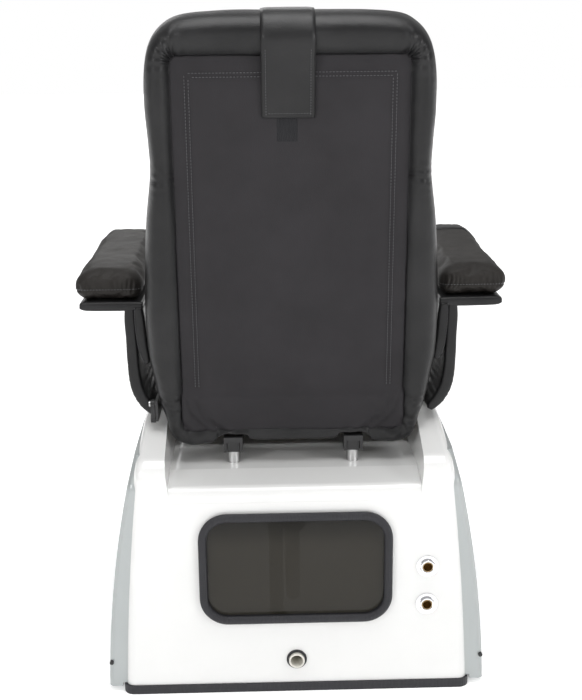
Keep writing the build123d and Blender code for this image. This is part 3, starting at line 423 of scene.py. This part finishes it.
def border_section(x, v, seam):
    """One cross-section of the border, from the rear seam round the outside to the front."""
    outer = Vector((x, v))
    middle = min(max((0.215 - abs(x)) / 0.05, 0), 1)
    flat = bell(v, 0.0, 0.085) * (0.55 + 0.45 * middle)
    section = []
    rear = 17
    for i in range(rear):
        u = 1 - i / (rear - 1)
        swell = math.sqrt(max(1 - (1 - min(u / 0.46, 1)) ** 2, 0))
        dip = max((u - 0.52) / 0.48, 0)
        pillow = 0.047 * (1 - swell) - 0.007 * swell + (SEAM_W + 0.009) * dip ** 2.2
        folded = 0.010 * (1 - min(u / 0.3, 1)) ** 2 - 0.002 + 0.006 * u
        w = pillow * (1 - flat) + folded * flat - border_relief(x, v, u)
        section.append((outer.lerp(seam, u), w))
    front = 14
    depth = 0.105 * (1 - flat) + 0.012 * flat
    inset = 0.052 * (1 - 0.6 * flat)
    inward = (seam - outer).normalized()
    for i in range(1, front):
        turn = math.pi / 2 * i / (front - 1)
        w = 0.047 * (1 - flat) + 0.008 * flat
        w += (depth + 0.002 - w) * math.sin(turn)
        reach = inset * (1 - math.cos(turn))
        bulge = 0.0012 * wave((x, v, turn * 0.05), 18, 21)
        section.append((outer + inward * (reach + bulge), w))
    closing = outer + inward * (inset + 0.012 * (1 - flat))
    section.append((closing, max(depth - 0.012, 0.016)))
    section.append((closing, SEAM_W + 0.006))
    return section


def make_border():
    """The border as one padded ring of leather round the back."""
    ring = outline_points(560)
    verts = []
    for point in ring:
        seam = seam_point(point.x, point.y)
        section = border_section(point.x, point.y, seam)
        verts += [on_back(spot.x, spot.y, w) for spot, w in section]
    faces = ring_faces(len(ring), len(section))
    border = piece_from("back_border_leather", verts, faces, "black_leather", "back")
    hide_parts("back_border")
    return border


def make_panel():
    """The recessed rear panel, drawn taut, with a sewn margin inside its edge."""
    rows, columns = 120, 90
    margin = 0.033
    verts = []
    for r in range(rows):
        v = PANEL_V[0] - 0.004 + (PANEL_V[1] - PANEL_V[0] + 0.008) * r / (rows - 1)
        half = panel_half(v) + 0.003
        for c in range(columns):
            x = half * (2 * c / (columns - 1) - 1)
            edge = min(half - abs(x), v - PANEL_V[0] + 0.02, PANEL_V[1] - v)
            groove = 0.0016 * bell(edge, margin, 0.0022) + 0.0008 * bell(edge, margin - 0.007, 0.002)
            swell = 0.0030 * min(edge / 0.05, 1)
            tension = 0.0012 * wave((x, v, 0), 7, 31)
            tension += 0.0009 * bell(edge, 0.012, 0.02) * wave((x, v, 0), 40, 33)
            low = min(max((0.125 - v) / 0.02, 0), 1)
            sweep = 0.0075 * low + 0.0016 * bell(v, LOW_SEAM_V + 0.008, 0.004) - 0.010 * max(0.055 - v, 0)
            drape = fold_relief(x, v) * low
            verts.append(on_back(x, v, SEAM_W + 0.001 - swell + groove - tension - sweep - drape))
    front = [point + TO_SITTER * 0.003 for point in verts]
    faces = grid_faces(rows, columns)
    count = len(verts)
    faces += [tuple(count + i for i in reversed(face)) for face in grid_faces(rows, columns)]
    rim = [c for c in range(columns)] + [r * columns + columns - 1 for r in range(1, rows)]
    rim += [(rows - 1) * columns + c for c in reversed(range(columns - 1))]
    rim += [r * columns for r in reversed(range(1, rows - 1))]
    faces += [(a, b, count + b, count + a) for a, b in zip(rim, rim[1:] + rim[:1])]
    panel = piece_from("back_panel_vinyl", verts + front, faces, "charcoal_vinyl", "back")
    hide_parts("back_rear_panel")
    for side in (-1, 1):
        for inset, w in ((margin - 0.0035, 0.0072), (margin + 0.004, 0.0072)):
            line = [on_back(side * (panel_half(v) + 0.003 - inset), v, w)
                    for v in (0.135, 0.3, 0.5, PANEL_V[1] - inset)]
            letter = "l" if side > 0 else "r"
            stitches(f"panel_stitches_{letter}_{round(inset * 1e4)}", line, -TO_SITTER, "back")
    for inset in (margin - 0.0035, margin + 0.004):
        v = PANEL_V[1] - inset
        reach = panel_half(v) - inset
        line = [on_back(x, v, 0.0072) for x in (-reach, 0, reach)]
        stitches(f"panel_stitches_top_{round(inset * 1e4)}", line, -TO_SITTER, "back")


# ---------------------------------------------------------------- cushions
def rounded_block(low, high, radius, cells):
    """Points and faces of a box with rounded edges, from a cube's grid."""
    low, high = Vector(low), Vector(high)
    middle, half = (low + high) / 2, (high - low) / 2
    shape = bmesh.new()
    bmesh.ops.create_cube(shape, size=2)
    bmesh.ops.subdivide_edges(shape, edges=shape.edges[:], cuts=cells, use_grid_fill=True)
    for vert in shape.verts:
        spread = Vector([math.copysign(abs(t) ** 0.8, t) for t in vert.co])
        spot = Vector([s * h for s, h in zip(spread, half)])
        core = Vector([min(max(s, r - h), h - r) for s, h, r in zip(spot, half, radius)])
        out = spot - core
        if out.length > 1e-9:
            scaled = Vector([o / r for o, r in zip(out, radius)]).normalized()
            spot = core + Vector([s * r for s, r in zip(scaled, radius)])
        vert.co = middle + spot
    mesh = bpy.data.meshes.new("block")
    shape.to_mesh(mesh)
    shape.free()
    verts = [v.co.copy() for v in mesh.vertices]
    faces = [tuple(p.vertices) for p in mesh.polygons]
    bpy.data.meshes.remove(mesh)
    return verts, faces


def inflate(piece, cap, pressure=4.0):
    """Swells a cushion as stuffed leather with Blender's cloth, no point moving further than cap."""
    start = [v.co.copy() for v in piece.data.vertices]
    bpy.context.view_layer.objects.active = piece
    cloth = piece.modifiers.new("cloth", "CLOTH")
    cloth.settings.use_pressure = True
    cloth.settings.uniform_pressure_force = pressure
    cloth.settings.effector_weights.gravity = 0
    cloth.settings.tension_stiffness = cloth.settings.compression_stiffness = 25
    cloth.settings.bending_stiffness = 0.4
    scene = bpy.context.scene
    for step in range(1, 15):
        scene.frame_set(step)
    shaped = piece.evaluated_get(bpy.context.evaluated_depsgraph_get()).to_mesh()
    ends = [v.co.copy() for v in shaped.vertices]
    piece.modifiers.remove(cloth)
    scene.frame_set(1)
    for vert, before, after in zip(piece.data.vertices, start, ends):
        move = after - before
        vert.co = before + (move * (cap / move.length) if move.length > cap else move)


def cushion(name, low, high, radius, slot, body, nodes, cells=26, shaper=None, swell=0.0):
    """A stuffed pad: a rounded block, shaped, optionally swelled by cloth, standing for its CAD nodes."""
    verts, faces = rounded_block(low, high, radius, cells)
    if shaper:
        verts = [shaper(v) for v in verts]
    pad = piece_from(name, verts, faces, slot, body)
    if swell:
        inflate(pad, swell)
    if nodes:
        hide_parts(*nodes)
    return pad


ARM_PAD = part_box("arm_pad_left")
ARM_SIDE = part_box("arm_side_left")
SEAM_Z = 0.850


def arm_pad_shape(side):
    """Shapes one arm pad: a sloping crowned top, a waist at the seam and puckers at the rear corners."""
    def shape(p):
        y_part = (p.y - ARM_PAD[0][1]) / (ARM_PAD[1][1] - ARM_PAD[0][1])
        base_z = ARM_PAD[0][2]
        height = (p.z - base_z) / 0.055
        top = 0.058 + 0.027 * (1 - y_part)
        z = base_z + height * top
        middle = side * (ARM_PAD[0][0] + ARM_PAD[1][0]) / 2
        across = (p.x - middle) / 0.075
        crown = 0.004 * (1 - min(abs(across), 1) ** 2) * max(height, 0)
        seam = 0.0016 * bell(z, SEAM_Z, 0.0022)
        rear = bell(p.y, ARM_PAD[1][1], 0.05)
        pucker = 0.0017 * rear * math.sin(across * 46 + 5 * wave(p, 25, 41)) * bell(z, SEAM_Z + 0.008, 0.009)
        lump = 0.0020 * wave(p, 11, 43) + 0.0008 * wave(p, 48, 44)
        nose = max(1 - (p.y - ARM_PAD[0][1]) / 0.11, 0)
        narrow = 1 - 0.42 * (1 - math.sqrt(max(1 - nose ** 2, 0)))
        tuck = math.copysign(seam, across) * (abs(across) > 0.8)
        x = middle + (p.x - middle) * narrow - tuck + lump * across
        y = p.y - (seam + pucker) * (rear > 0.6)
        return Vector((x, y, z + crown + lump))
    return shape


def make_arm_pads():
    """Both arm pads, with a row of stitches round the rear of each."""
    low, high = ARM_PAD
    for side, name in ((1, "left"), (-1, "right")):
        x_low, x_high = sorted((side * (low[0] + 0.001), side * (high[0] + 0.005)))
        box_low = (x_low, low[1] + 0.004, low[2])
        box_high = (x_high, high[1] - 0.003, low[2] + 0.052)
        pad = cushion(f"arm_pad_{name}_leather", box_low, box_high, (0.034, 0.036, 0.0245), "black_leather",
                      "seat", [f"arm_pad_{name}"], cells=44, shaper=arm_pad_shape(side), swell=0.004)
        pad.data.materials[0] = ARM_SHEEN_LEATHER
        ring = []
        corner = 0.03
        for cx, cy, start in ((x_high, high[1] - 0.003, 0), (x_low, high[1] - 0.003, 90)):
            px = cx - corner if cx == x_high else cx + corner
            ring += [(px + corner * math.cos(math.radians(start + a)),
                      cy - corner + corner * math.sin(math.radians(start + a)) + 0.0006, SEAM_Z + 0.0045)
                     for a in range(0, 91, 15)]
        stitches(f"arm_pad_{name}_stitches", spread_evenly(ring, 60), Vector((0, 1, 0)), "seat",
                 pitch=0.006, length=0.004)


def make_remote_strap():
    """The leather strap over the right arm's pad, lying on the pad's own surface."""
    low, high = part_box("remote_strap")
    thick, hem, sunk, far = 0.0025, 0.0010, 0.0004, 0.3
    pad = bpy.data.objects["arm_pad_right_leather"]
    tree = BVHTree.FromPolygons([v.co for v in pad.data.vertices], [f.vertices for f in pad.data.polygons])
    middle_x, base_z = (low[0] + high[0]) / 2, low[2] + 0.006
    rings, steps, columns = [], 64, 7
    for c in range(columns):
        y = low[1] + 0.001 + (high[1] - low[1] - 0.002) * c / (columns - 1)
        line = []
        for i in range(steps + 1):
            turn = math.pi * i / steps
            aim = Vector((-math.cos(turn), 0, math.sin(turn) * 0.8 + 0.02)).normalized()
            spot, _, _, _ = tree.ray_cast(Vector((middle_x, y, base_z)) + aim * far, -aim)
            line.append((spot if spot else Vector((middle_x, y, base_z)) + aim * 0.07, aim))
        rings.append(line)
    verts = []
    for i in range(steps + 1):
        top, under = [], []
        for c in range(columns):
            spot, aim = rings[c][i]
            top.append(spot + aim * (hem if c in (0, columns - 1) else thick))
            under.append(spot - aim * sunk)
        verts += top + under[::-1]
    count = 2 * columns
    faces = ring_faces(steps + 1, count, closed_rows=False)
    faces += [tuple(range(count)), tuple(reversed(range(len(verts) - count, len(verts))))]
    strap = piece_from("remote_strap_leather", verts, faces, "black_leather", "seat")
    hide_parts("remote_strap")


# each strip of an arm: (x, z) along its middle, with half its thickness there
ARM_FLANGE = ((.3100, .8180, .0095), (.3400, .8180, .0105), (.3900, .8180, .0108), (.4180, .8185, .0105),
              (.4330, .8190, .0095), (.4410, .8195, .0060))
ARM_BAND = ((.3380, .8180, .0100), (.3385, .7900, .0122), (.3375, .7500, .0125), (.3365, .7000, .0125),
            (.3345, .6640, .0130), (.3285, .6320, .0135), (.3150, .6060, .0130), (.3010, .5900, .0110),
            (.2960, .5810, .0060))
ARM_PAD_INSIDE = ((.3190, .8150, .0100), (.3180, .7900, .0120), (.3160, .7550, .0120), (.3130, .7250, .0110),
                  (.3080, .7040, .0080), (.3050, .6950, .0045))


def strip_outline(strip, count):
    """The closed outline of a strip of varying thickness: up one side and back down the other."""
    line = spread_evenly(catmull([Vector(spot) for spot in strip], 8), count)
    near, far = [], []
    for i, spot in enumerate(line):
        along = (line[min(i + 1, count - 1)] - line[max(i - 1, 0)]).xy.normalized()
        out = Vector((along.y, -along.x)) * spot.z
        near.append(spot.xy + out)
        far.append(spot.xy - out)
    return near + far[::-1]


def arm_strip(strip, count, side, y_range, crease):
    """One padded strip of an arm, run along it, with softened ends."""
    outline = strip_outline(strip, count)
    size = len(outline)
    middle = [(outline[i] + outline[size - 1 - i]) / 2 for i in range(size)]
    y_low, y_high = y_range
    ends = ((0.0, 0.45), (0.0008, 0.70), (0.0028, 0.88), (0.007, 0.97), (0.013, 1.0))
    stations = [(y_low + run, share) for run, share in ends]
    stations += [(y_low + 0.013 + (y_high - y_low - 0.026) * i / 40, 1.0) for i in range(1, 40)]
    stations += [(y_high - run, share) for run, share in reversed(ends)]
    verts = []
    for y, share in stations:
        for point, core in zip(outline, middle):
            spot = Vector((point.x, y, point.y))
            bend = bell(point.y, 0.606, 0.04)
            ripple = math.sin(point.y * 460 + 6 * wave(spot, 12, 51)) * (0.5 + wave(spot, 9, 53))
            relief = crease * bend * ripple + 0.0009 * wave(spot, 20, 55)
            out = point - core
            flat = core + out * share + out.normalized() * relief
            verts.append(Vector((side * flat.x, y, flat.y)))
    faces = ring_faces(len(stations), size, closed_rows=False)
    last = len(verts) - size
    for i in range(count - 1):
        faces.append((i, i + 1, size - 2 - i, size - 1 - i))
        faces.append((last + size - 1 - i, last + size - 2 - i, last + i + 1, last + i))
    return verts, faces


def make_arm_sides():
    """The upholstered arms: flange under the pad, side panel that curls towards the seat, and inner pad."""
    y_low, y_high = ARM_SIDE[0][1] + 0.001, ARM_SIDE[1][1] - 0.001
    for side, name in ((1, "left"), (-1, "right")):
        verts, faces = [], []
        for strip, count, ends, crease in ((ARM_BAND, 70, (y_low, y_high), 0.0030),
                                           (ARM_FLANGE, 36, (y_low + 0.002, y_high + 0.001), 0.0),
                                           (ARM_PAD_INSIDE, 36, (y_low + 0.004, y_high + 0.004), 0.0)):
            more, more_faces = arm_strip(strip, count, side, ends, crease)
            faces += [tuple(len(verts) + i for i in face) for face in more_faces]
            verts += more
        arm = piece_from(f"arm_side_{name}_leather", verts, faces, "black_leather", "seat")
        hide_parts(f"arm_side_{name}")
        seam = [(side * (x + half * 0.8), y_high + 0.0045, z) for x, z, half in ARM_PAD_INSIDE]
        stitches(f"arm_{name}_stitches", spread_evenly(catmull(seam, 6), 60), Vector((0, 1, 0)), "seat",
                 pitch=0.006, length=0.004)


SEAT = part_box("seat_cushion")


def seat_shape(p):
    """A crowned middle and two sewn channels across the seat."""
    across = p.x / SEAT[1][0]
    along = (p.y - SEAT[0][1]) / (SEAT[1][1] - SEAT[0][1])
    top = max((p.z - SEAT[0][2]) / (SEAT[1][2] - SEAT[0][2]), 0)
    crown = 0.006 * (1 - across ** 2) * (1 - (2 * along - 1) ** 2)
    channel = sum(0.006 * bell(along, spot, 0.012) for spot in (0.36, 0.68)) * (abs(across) < 0.86)
    lump = 0.0018 * wave(p, 9, 61)
    waist = 1 - 0.012 * top * bell(along, 0.5, 0.3)
    return Vector((p.x * waist, p.y, p.z + (crown - channel + lump) * top))


def on_back_block(name, low, high, radius, slot, nodes, cells, shaper=None, swell=0.0):
    """A cushion made in the back's own coordinates."""
    verts, faces = rounded_block(low, high, radius, cells)
    if shaper:
        verts = [shaper(v) for v in verts]
    pad = piece_from(name, [on_back(*v) for v in verts], faces, slot, "back")
    if swell:
        inflate(pad, swell)
    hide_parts(*nodes)
    return pad


def front_pad_shape(p):
    """Sewn channels across the sitting face, deeper in the middle, with a lumbar swell."""
    face = max((p.z - 0.066) / 0.054, 0)
    channels = sum(bell(p.y, v, 0.006) for v in (0.17, 0.29, 0.41, 0.53, 0.65))
    lumbar = 0.008 * bell(p.y, 0.23, 0.1)
    lift = lumbar - 0.010 * channels * (abs(p.x) < 0.19) + 0.002 * wave(p, 8, 71)
    return Vector((p.x, p.y, p.z + lift * min(face, 1)))


def pillow_shape(p):
    """A soft head pillow, pinched along its middle."""
    face = max((p.z - 0.12) / 0.05, 0)
    pinch = 0.008 * bell(p.y, 0.77, 0.012)
    return Vector((p.x, p.y, p.z - pinch * face + 0.002 * wave(p, 10, 73) * face))


# ---------------------------------------------------------------- pillow strap
STRAP_X = (-0.0455, 0.0555)
STRAP_PATH = [(.693, .0060), (.730, .0035), (.775, .0015), (.800, -.0045), (.822, -.0110), (.845, -.0115),
              (.868, .0020), (.8805, .0230), (.8835, .0480), (.8820, .0750), (.8700, .1010), (.8520, .1130),
              (.8420, .1180)]


def make_strap():
    """The leather strap folded over the top of the back, with its sewn edges."""
    line = spread_evenly(catmull(STRAP_PATH, 8), 90)
    thick, columns = 0.0032, 15
    left, right = STRAP_X
    verts = []
    for i, spot in enumerate(line):
        before, after = line[max(i - 1, 0)], line[min(i + 1, len(line) - 1)]
        along = (after - before).normalized()
        out = Vector((along.y, -along.x))
        loop = []
        for c in range(columns):
            t = c / (columns - 1)
            x = left + (right - left) * t
            edge = min(t, 1 - t) * (right - left)
            rise = thick * (0.35 + 0.65 * min(edge / 0.006, 1) ** 0.5) - 0.0011 * bell(edge, 0.0085, 0.0016)
            rise += 0.0007 * wave((x, spot.x, spot.y), 22, 81)
            loop.append((x, spot + out * rise))
        under = [(x, spot) for x, _ in reversed(loop)]
        verts += [on_back(x, flat.x, flat.y) for x, flat in loop + under]
    count = 2 * columns
    faces = ring_faces(len(line), count, closed_rows=False)
    faces += [tuple(range(count)), tuple(reversed(range(len(verts) - count, len(verts))))]
    strap = piece_from("pillow_strap_leather", verts, faces, "black_leather", "back")
    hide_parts("pillow_strap")
    for x in (left + 0.0085, right - 0.0085):
        run = [on_back(x, s.x, s.y - thick - 0.0002) for s in line[2:38]]
        letter = "l" if x > 0 else "r"
        stitches(f"strap_stitches_{letter}", run, -TO_SITTER, "back", pitch=0.005, length=0.0034)
    low = line[0]
    run = [on_back(x, low.x + 0.0085, low.y - thick - 0.0004) for x in (left + 0.009, 0.005, right - 0.009)]
    stitches("strap_stitches_low", run, -TO_SITTER, "back", pitch=0.005, length=0.0034)


# ---------------------------------------------------------------- window gasket
def make_gasket():
    """The ribbed rubber gasket: a rounded band round the window, with a rib every few millimetres."""
    low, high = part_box("access_gasket")
    _, pane_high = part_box("access_window")
    face_y = pane_high[1] + 0.0045
    middle_z = (low[2] + high[2]) / 2
    half_x, half_z, outer_r = (high[0] - low[0]) / 2 - 0.001, (high[2] - low[2]) / 2 - 0.001, 0.060
    lean = 0.0237
    path = []
    for cx, cz, start in ((1, 1, 0), (-1, 1, 90), (-1, -1, 180), (1, -1, 270)):
        for a in range(0, 91, 6):
            turn = math.radians(start + a)
            path.append((cx * (half_x - outer_r) + outer_r * math.cos(turn),
                         cz * (half_z - outer_r) + outer_r * math.sin(turn)))
    path = spread_evenly(path, 1160, closed=True)
    section = [(0.0, -0.002), (0.0, 0.0035), (0.0022, 0.0062), (0.006, 0.0078), (0.010, 0.0080),
               (0.014, 0.0066), (0.0172, 0.0035), (0.0180, -0.004), (0.0090, -0.004)]
    verts = []
    for i, point in enumerate(path):
        along = (path[(i + 1) % len(path)] - path[i - 1]).normalized()
        inward = Vector((-along.y, along.x))
        rib = 0.0009 * (0.5 + 0.5 * math.cos(2 * math.pi * i / 4))
        for inset, rise in section:
            spot = point + inward * inset
            lift = rise - (rib if rise > 0.003 else 0)
            verts.append((spot.x, face_y - lean * spot.y + lift, middle_z + spot.y))
    faces = ring_faces(len(path), len(section))
    gasket = piece_from("access_gasket_ribbed", verts, faces, "black_rubber", "base")
    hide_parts("access_gasket")


# ---------------------------------------------------------------- everything upholstered
def make_upholstery():
    """Every soft piece of the chair."""
    make_border()
    make_panel()
    make_strap()
    make_arm_pads()
    make_remote_strap()
    make_arm_sides()
    low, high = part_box("seat_cushion")
    cushion("seat_cushion_leather", (low[0] + 0.004, low[1] + 0.004, low[2]),
            (high[0] - 0.004, high[1] - 0.002, high[2] - 0.006), (0.03, 0.03, 0.028), "black_leather", "seat",
            ["seat_cushion"], cells=60, shaper=seat_shape, swell=0.005)
    low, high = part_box("footrest_pad")
    cushion("footrest_pad_leather", (low[0] + 0.003, low[1] + 0.003, low[2]),
            (high[0] - 0.003, high[1] - 0.003, high[2] - 0.003), (0.03, 0.028, 0.014), "black_leather",
            "footrest", ["footrest_pad"], cells=24, swell=0.003)
    on_back_block("back_front_leather", (-0.219, 0.052, 0.075), (0.219, 0.835, 0.118), (0.045, 0.045, 0.022),
                  "black_leather", ["back_front_pad"], 60, front_pad_shape, 0.004)
    on_back_block("head_pillow_leather", (-0.147, 0.694, 0.122), (0.157, 0.848, 0.166), (0.035, 0.035, 0.021),
                  "black_leather", ["head_pillow"], 30, pillow_shape, 0.004)


make_upholstery()
make_gasket()

# ---------------------------------------------------------------- floor, light and camera
EYE = Vector((0.050, 2.740, 1.338))
LOOK_DOWN, LOOK_RIGHT, ROLL = math.atan(305 / 1080), math.radians(1.25), math.radians(-0.6)
LENS = 55.5


def make_surround():
    """A white studio floor, glowing more the further it is from the chair."""
    bpy.ops.mesh.primitive_plane_add(size=60)
    floor = bpy.context.object
    floor.name = "floor"
    floor.data.materials.append(plain_part("floor_paint", (0.92, 0.92, 0.92), 0.7, grain=(40, 0.01, 0.0003),
                                           Emission_Color=(1, 1, 1, 1), Emission_Strength=0.42))
    paint = floor.data.materials[0]
    links = paint.node_tree.links
    place = add_node(paint, "ShaderNodeTexCoord")
    reach = paint.node_tree.nodes.new("ShaderNodeVectorMath")
    reach.operation = "LENGTH"
    glow = add_node(paint, "ShaderNodeMapRange", From_Min=1.2, From_Max=4.5, To_Min=0.42, To_Max=1.0)
    links.new(place.outputs["Object"], reach.inputs[0])
    links.new(reach.outputs["Value"], glow.inputs["Value"])
    links.new(glow.outputs["Result"], paint.node_tree.nodes["Principled BSDF"].inputs["Emission Strength"])


def area_light(name, place, aim, size, power):
    """A soft square light pointed at a spot."""
    light = bpy.data.lights.new(name, "AREA")
    light.energy, light.size = power, size
    lamp = bpy.data.objects.new(name, light)
    lamp.location = place
    lamp.rotation_euler = (Vector(aim) - Vector(place)).to_track_quat("-Z", "Y").to_euler()
    bpy.context.collection.objects.link(lamp)


def make_lights():
    """Soft light: a surround dimmer at the sides, an overhead panel, two rear fills and one in front."""
    world = bpy.data.worlds.new("studio")
    world.use_nodes = True
    ways = world.node_tree
    ways.nodes["Background"].inputs["Color"].default_value = (1, 1, 1, 1)
    heading = ways.nodes.new("ShaderNodeTexCoord")
    split = ways.nodes.new("ShaderNodeSeparateXYZ")
    sideways = ways.nodes.new("ShaderNodeMath")
    sideways.operation = "ABSOLUTE"
    shade = ways.nodes.new("ShaderNodeMapRange")
    shade.inputs["From Min"].default_value, shade.inputs["From Max"].default_value = 0.50, 0.85
    shade.inputs["To Min"].default_value, shade.inputs["To Max"].default_value = 0.50, 0.22
    ways.links.new(heading.outputs["Generated"], split.inputs["Vector"])
    ways.links.new(split.outputs["X"], sideways.inputs[0])
    ways.links.new(sideways.outputs["Value"], shade.inputs["Value"])
    ways.links.new(shade.outputs["Result"], ways.nodes["Background"].inputs["Strength"])
    seen = ways.nodes.new("ShaderNodeLightPath")
    white = ways.nodes.new("ShaderNodeBackground")
    white.inputs["Color"].default_value, white.inputs["Strength"].default_value = (1, 1, 1, 1), 1.0
    choose = ways.nodes.new("ShaderNodeMixShader")
    ways.links.new(seen.outputs["Is Camera Ray"], choose.inputs[0])
    ways.links.new(ways.nodes["Background"].outputs[0], choose.inputs[1])
    ways.links.new(white.outputs[0], choose.inputs[2])
    ways.links.new(choose.outputs[0], ways.nodes["World Output"].inputs["Surface"])
    bpy.context.scene.world = world
    bpy.context.scene.view_settings.view_transform = "Standard"
    area_light("overhead", (0, 1.0, 3.4), (0, 0.4, 0.8), 2.0, 54)
    area_light("rear_left", (1.9, 2.9, 2.0), (0, 0.6, 0.7), 0.9, 21)
    area_light("rear_right", (-2.4, 2.4, 1.8), (0, 0.6, 0.7), 0.9, 24)
    area_light("front", (0.5, -3.0, 2.2), (0, 0, 0.7), 2.0, 14)


def make_camera():
    """The photograph's view: behind the chair, at head height, looking slightly down."""
    ahead = Vector((-math.sin(LOOK_RIGHT), -math.cos(LOOK_RIGHT), 0))
    right = Vector((-math.cos(LOOK_RIGHT), math.sin(LOOK_RIGHT), 0))
    forward = ahead * math.cos(LOOK_DOWN) - Vector((0, 0, 1)) * math.sin(LOOK_DOWN)
    up = Vector((0, 0, 1)) * math.cos(LOOK_DOWN) + ahead * math.sin(LOOK_DOWN)
    side = right * math.cos(ROLL) + up * math.sin(ROLL)
    crown = up * math.cos(ROLL) - right * math.sin(ROLL)
    camera = bpy.data.objects.new("camera", bpy.data.cameras.new("camera"))
    camera.data.lens, camera.data.sensor_width = LENS, 36
    camera.matrix_world = Matrix((side, crown, -forward)).transposed().to_4x4()
    camera.location = EYE
    bpy.context.collection.objects.link(camera)
    bpy.context.scene.camera = camera


make_surround()
make_lights()
make_camera()
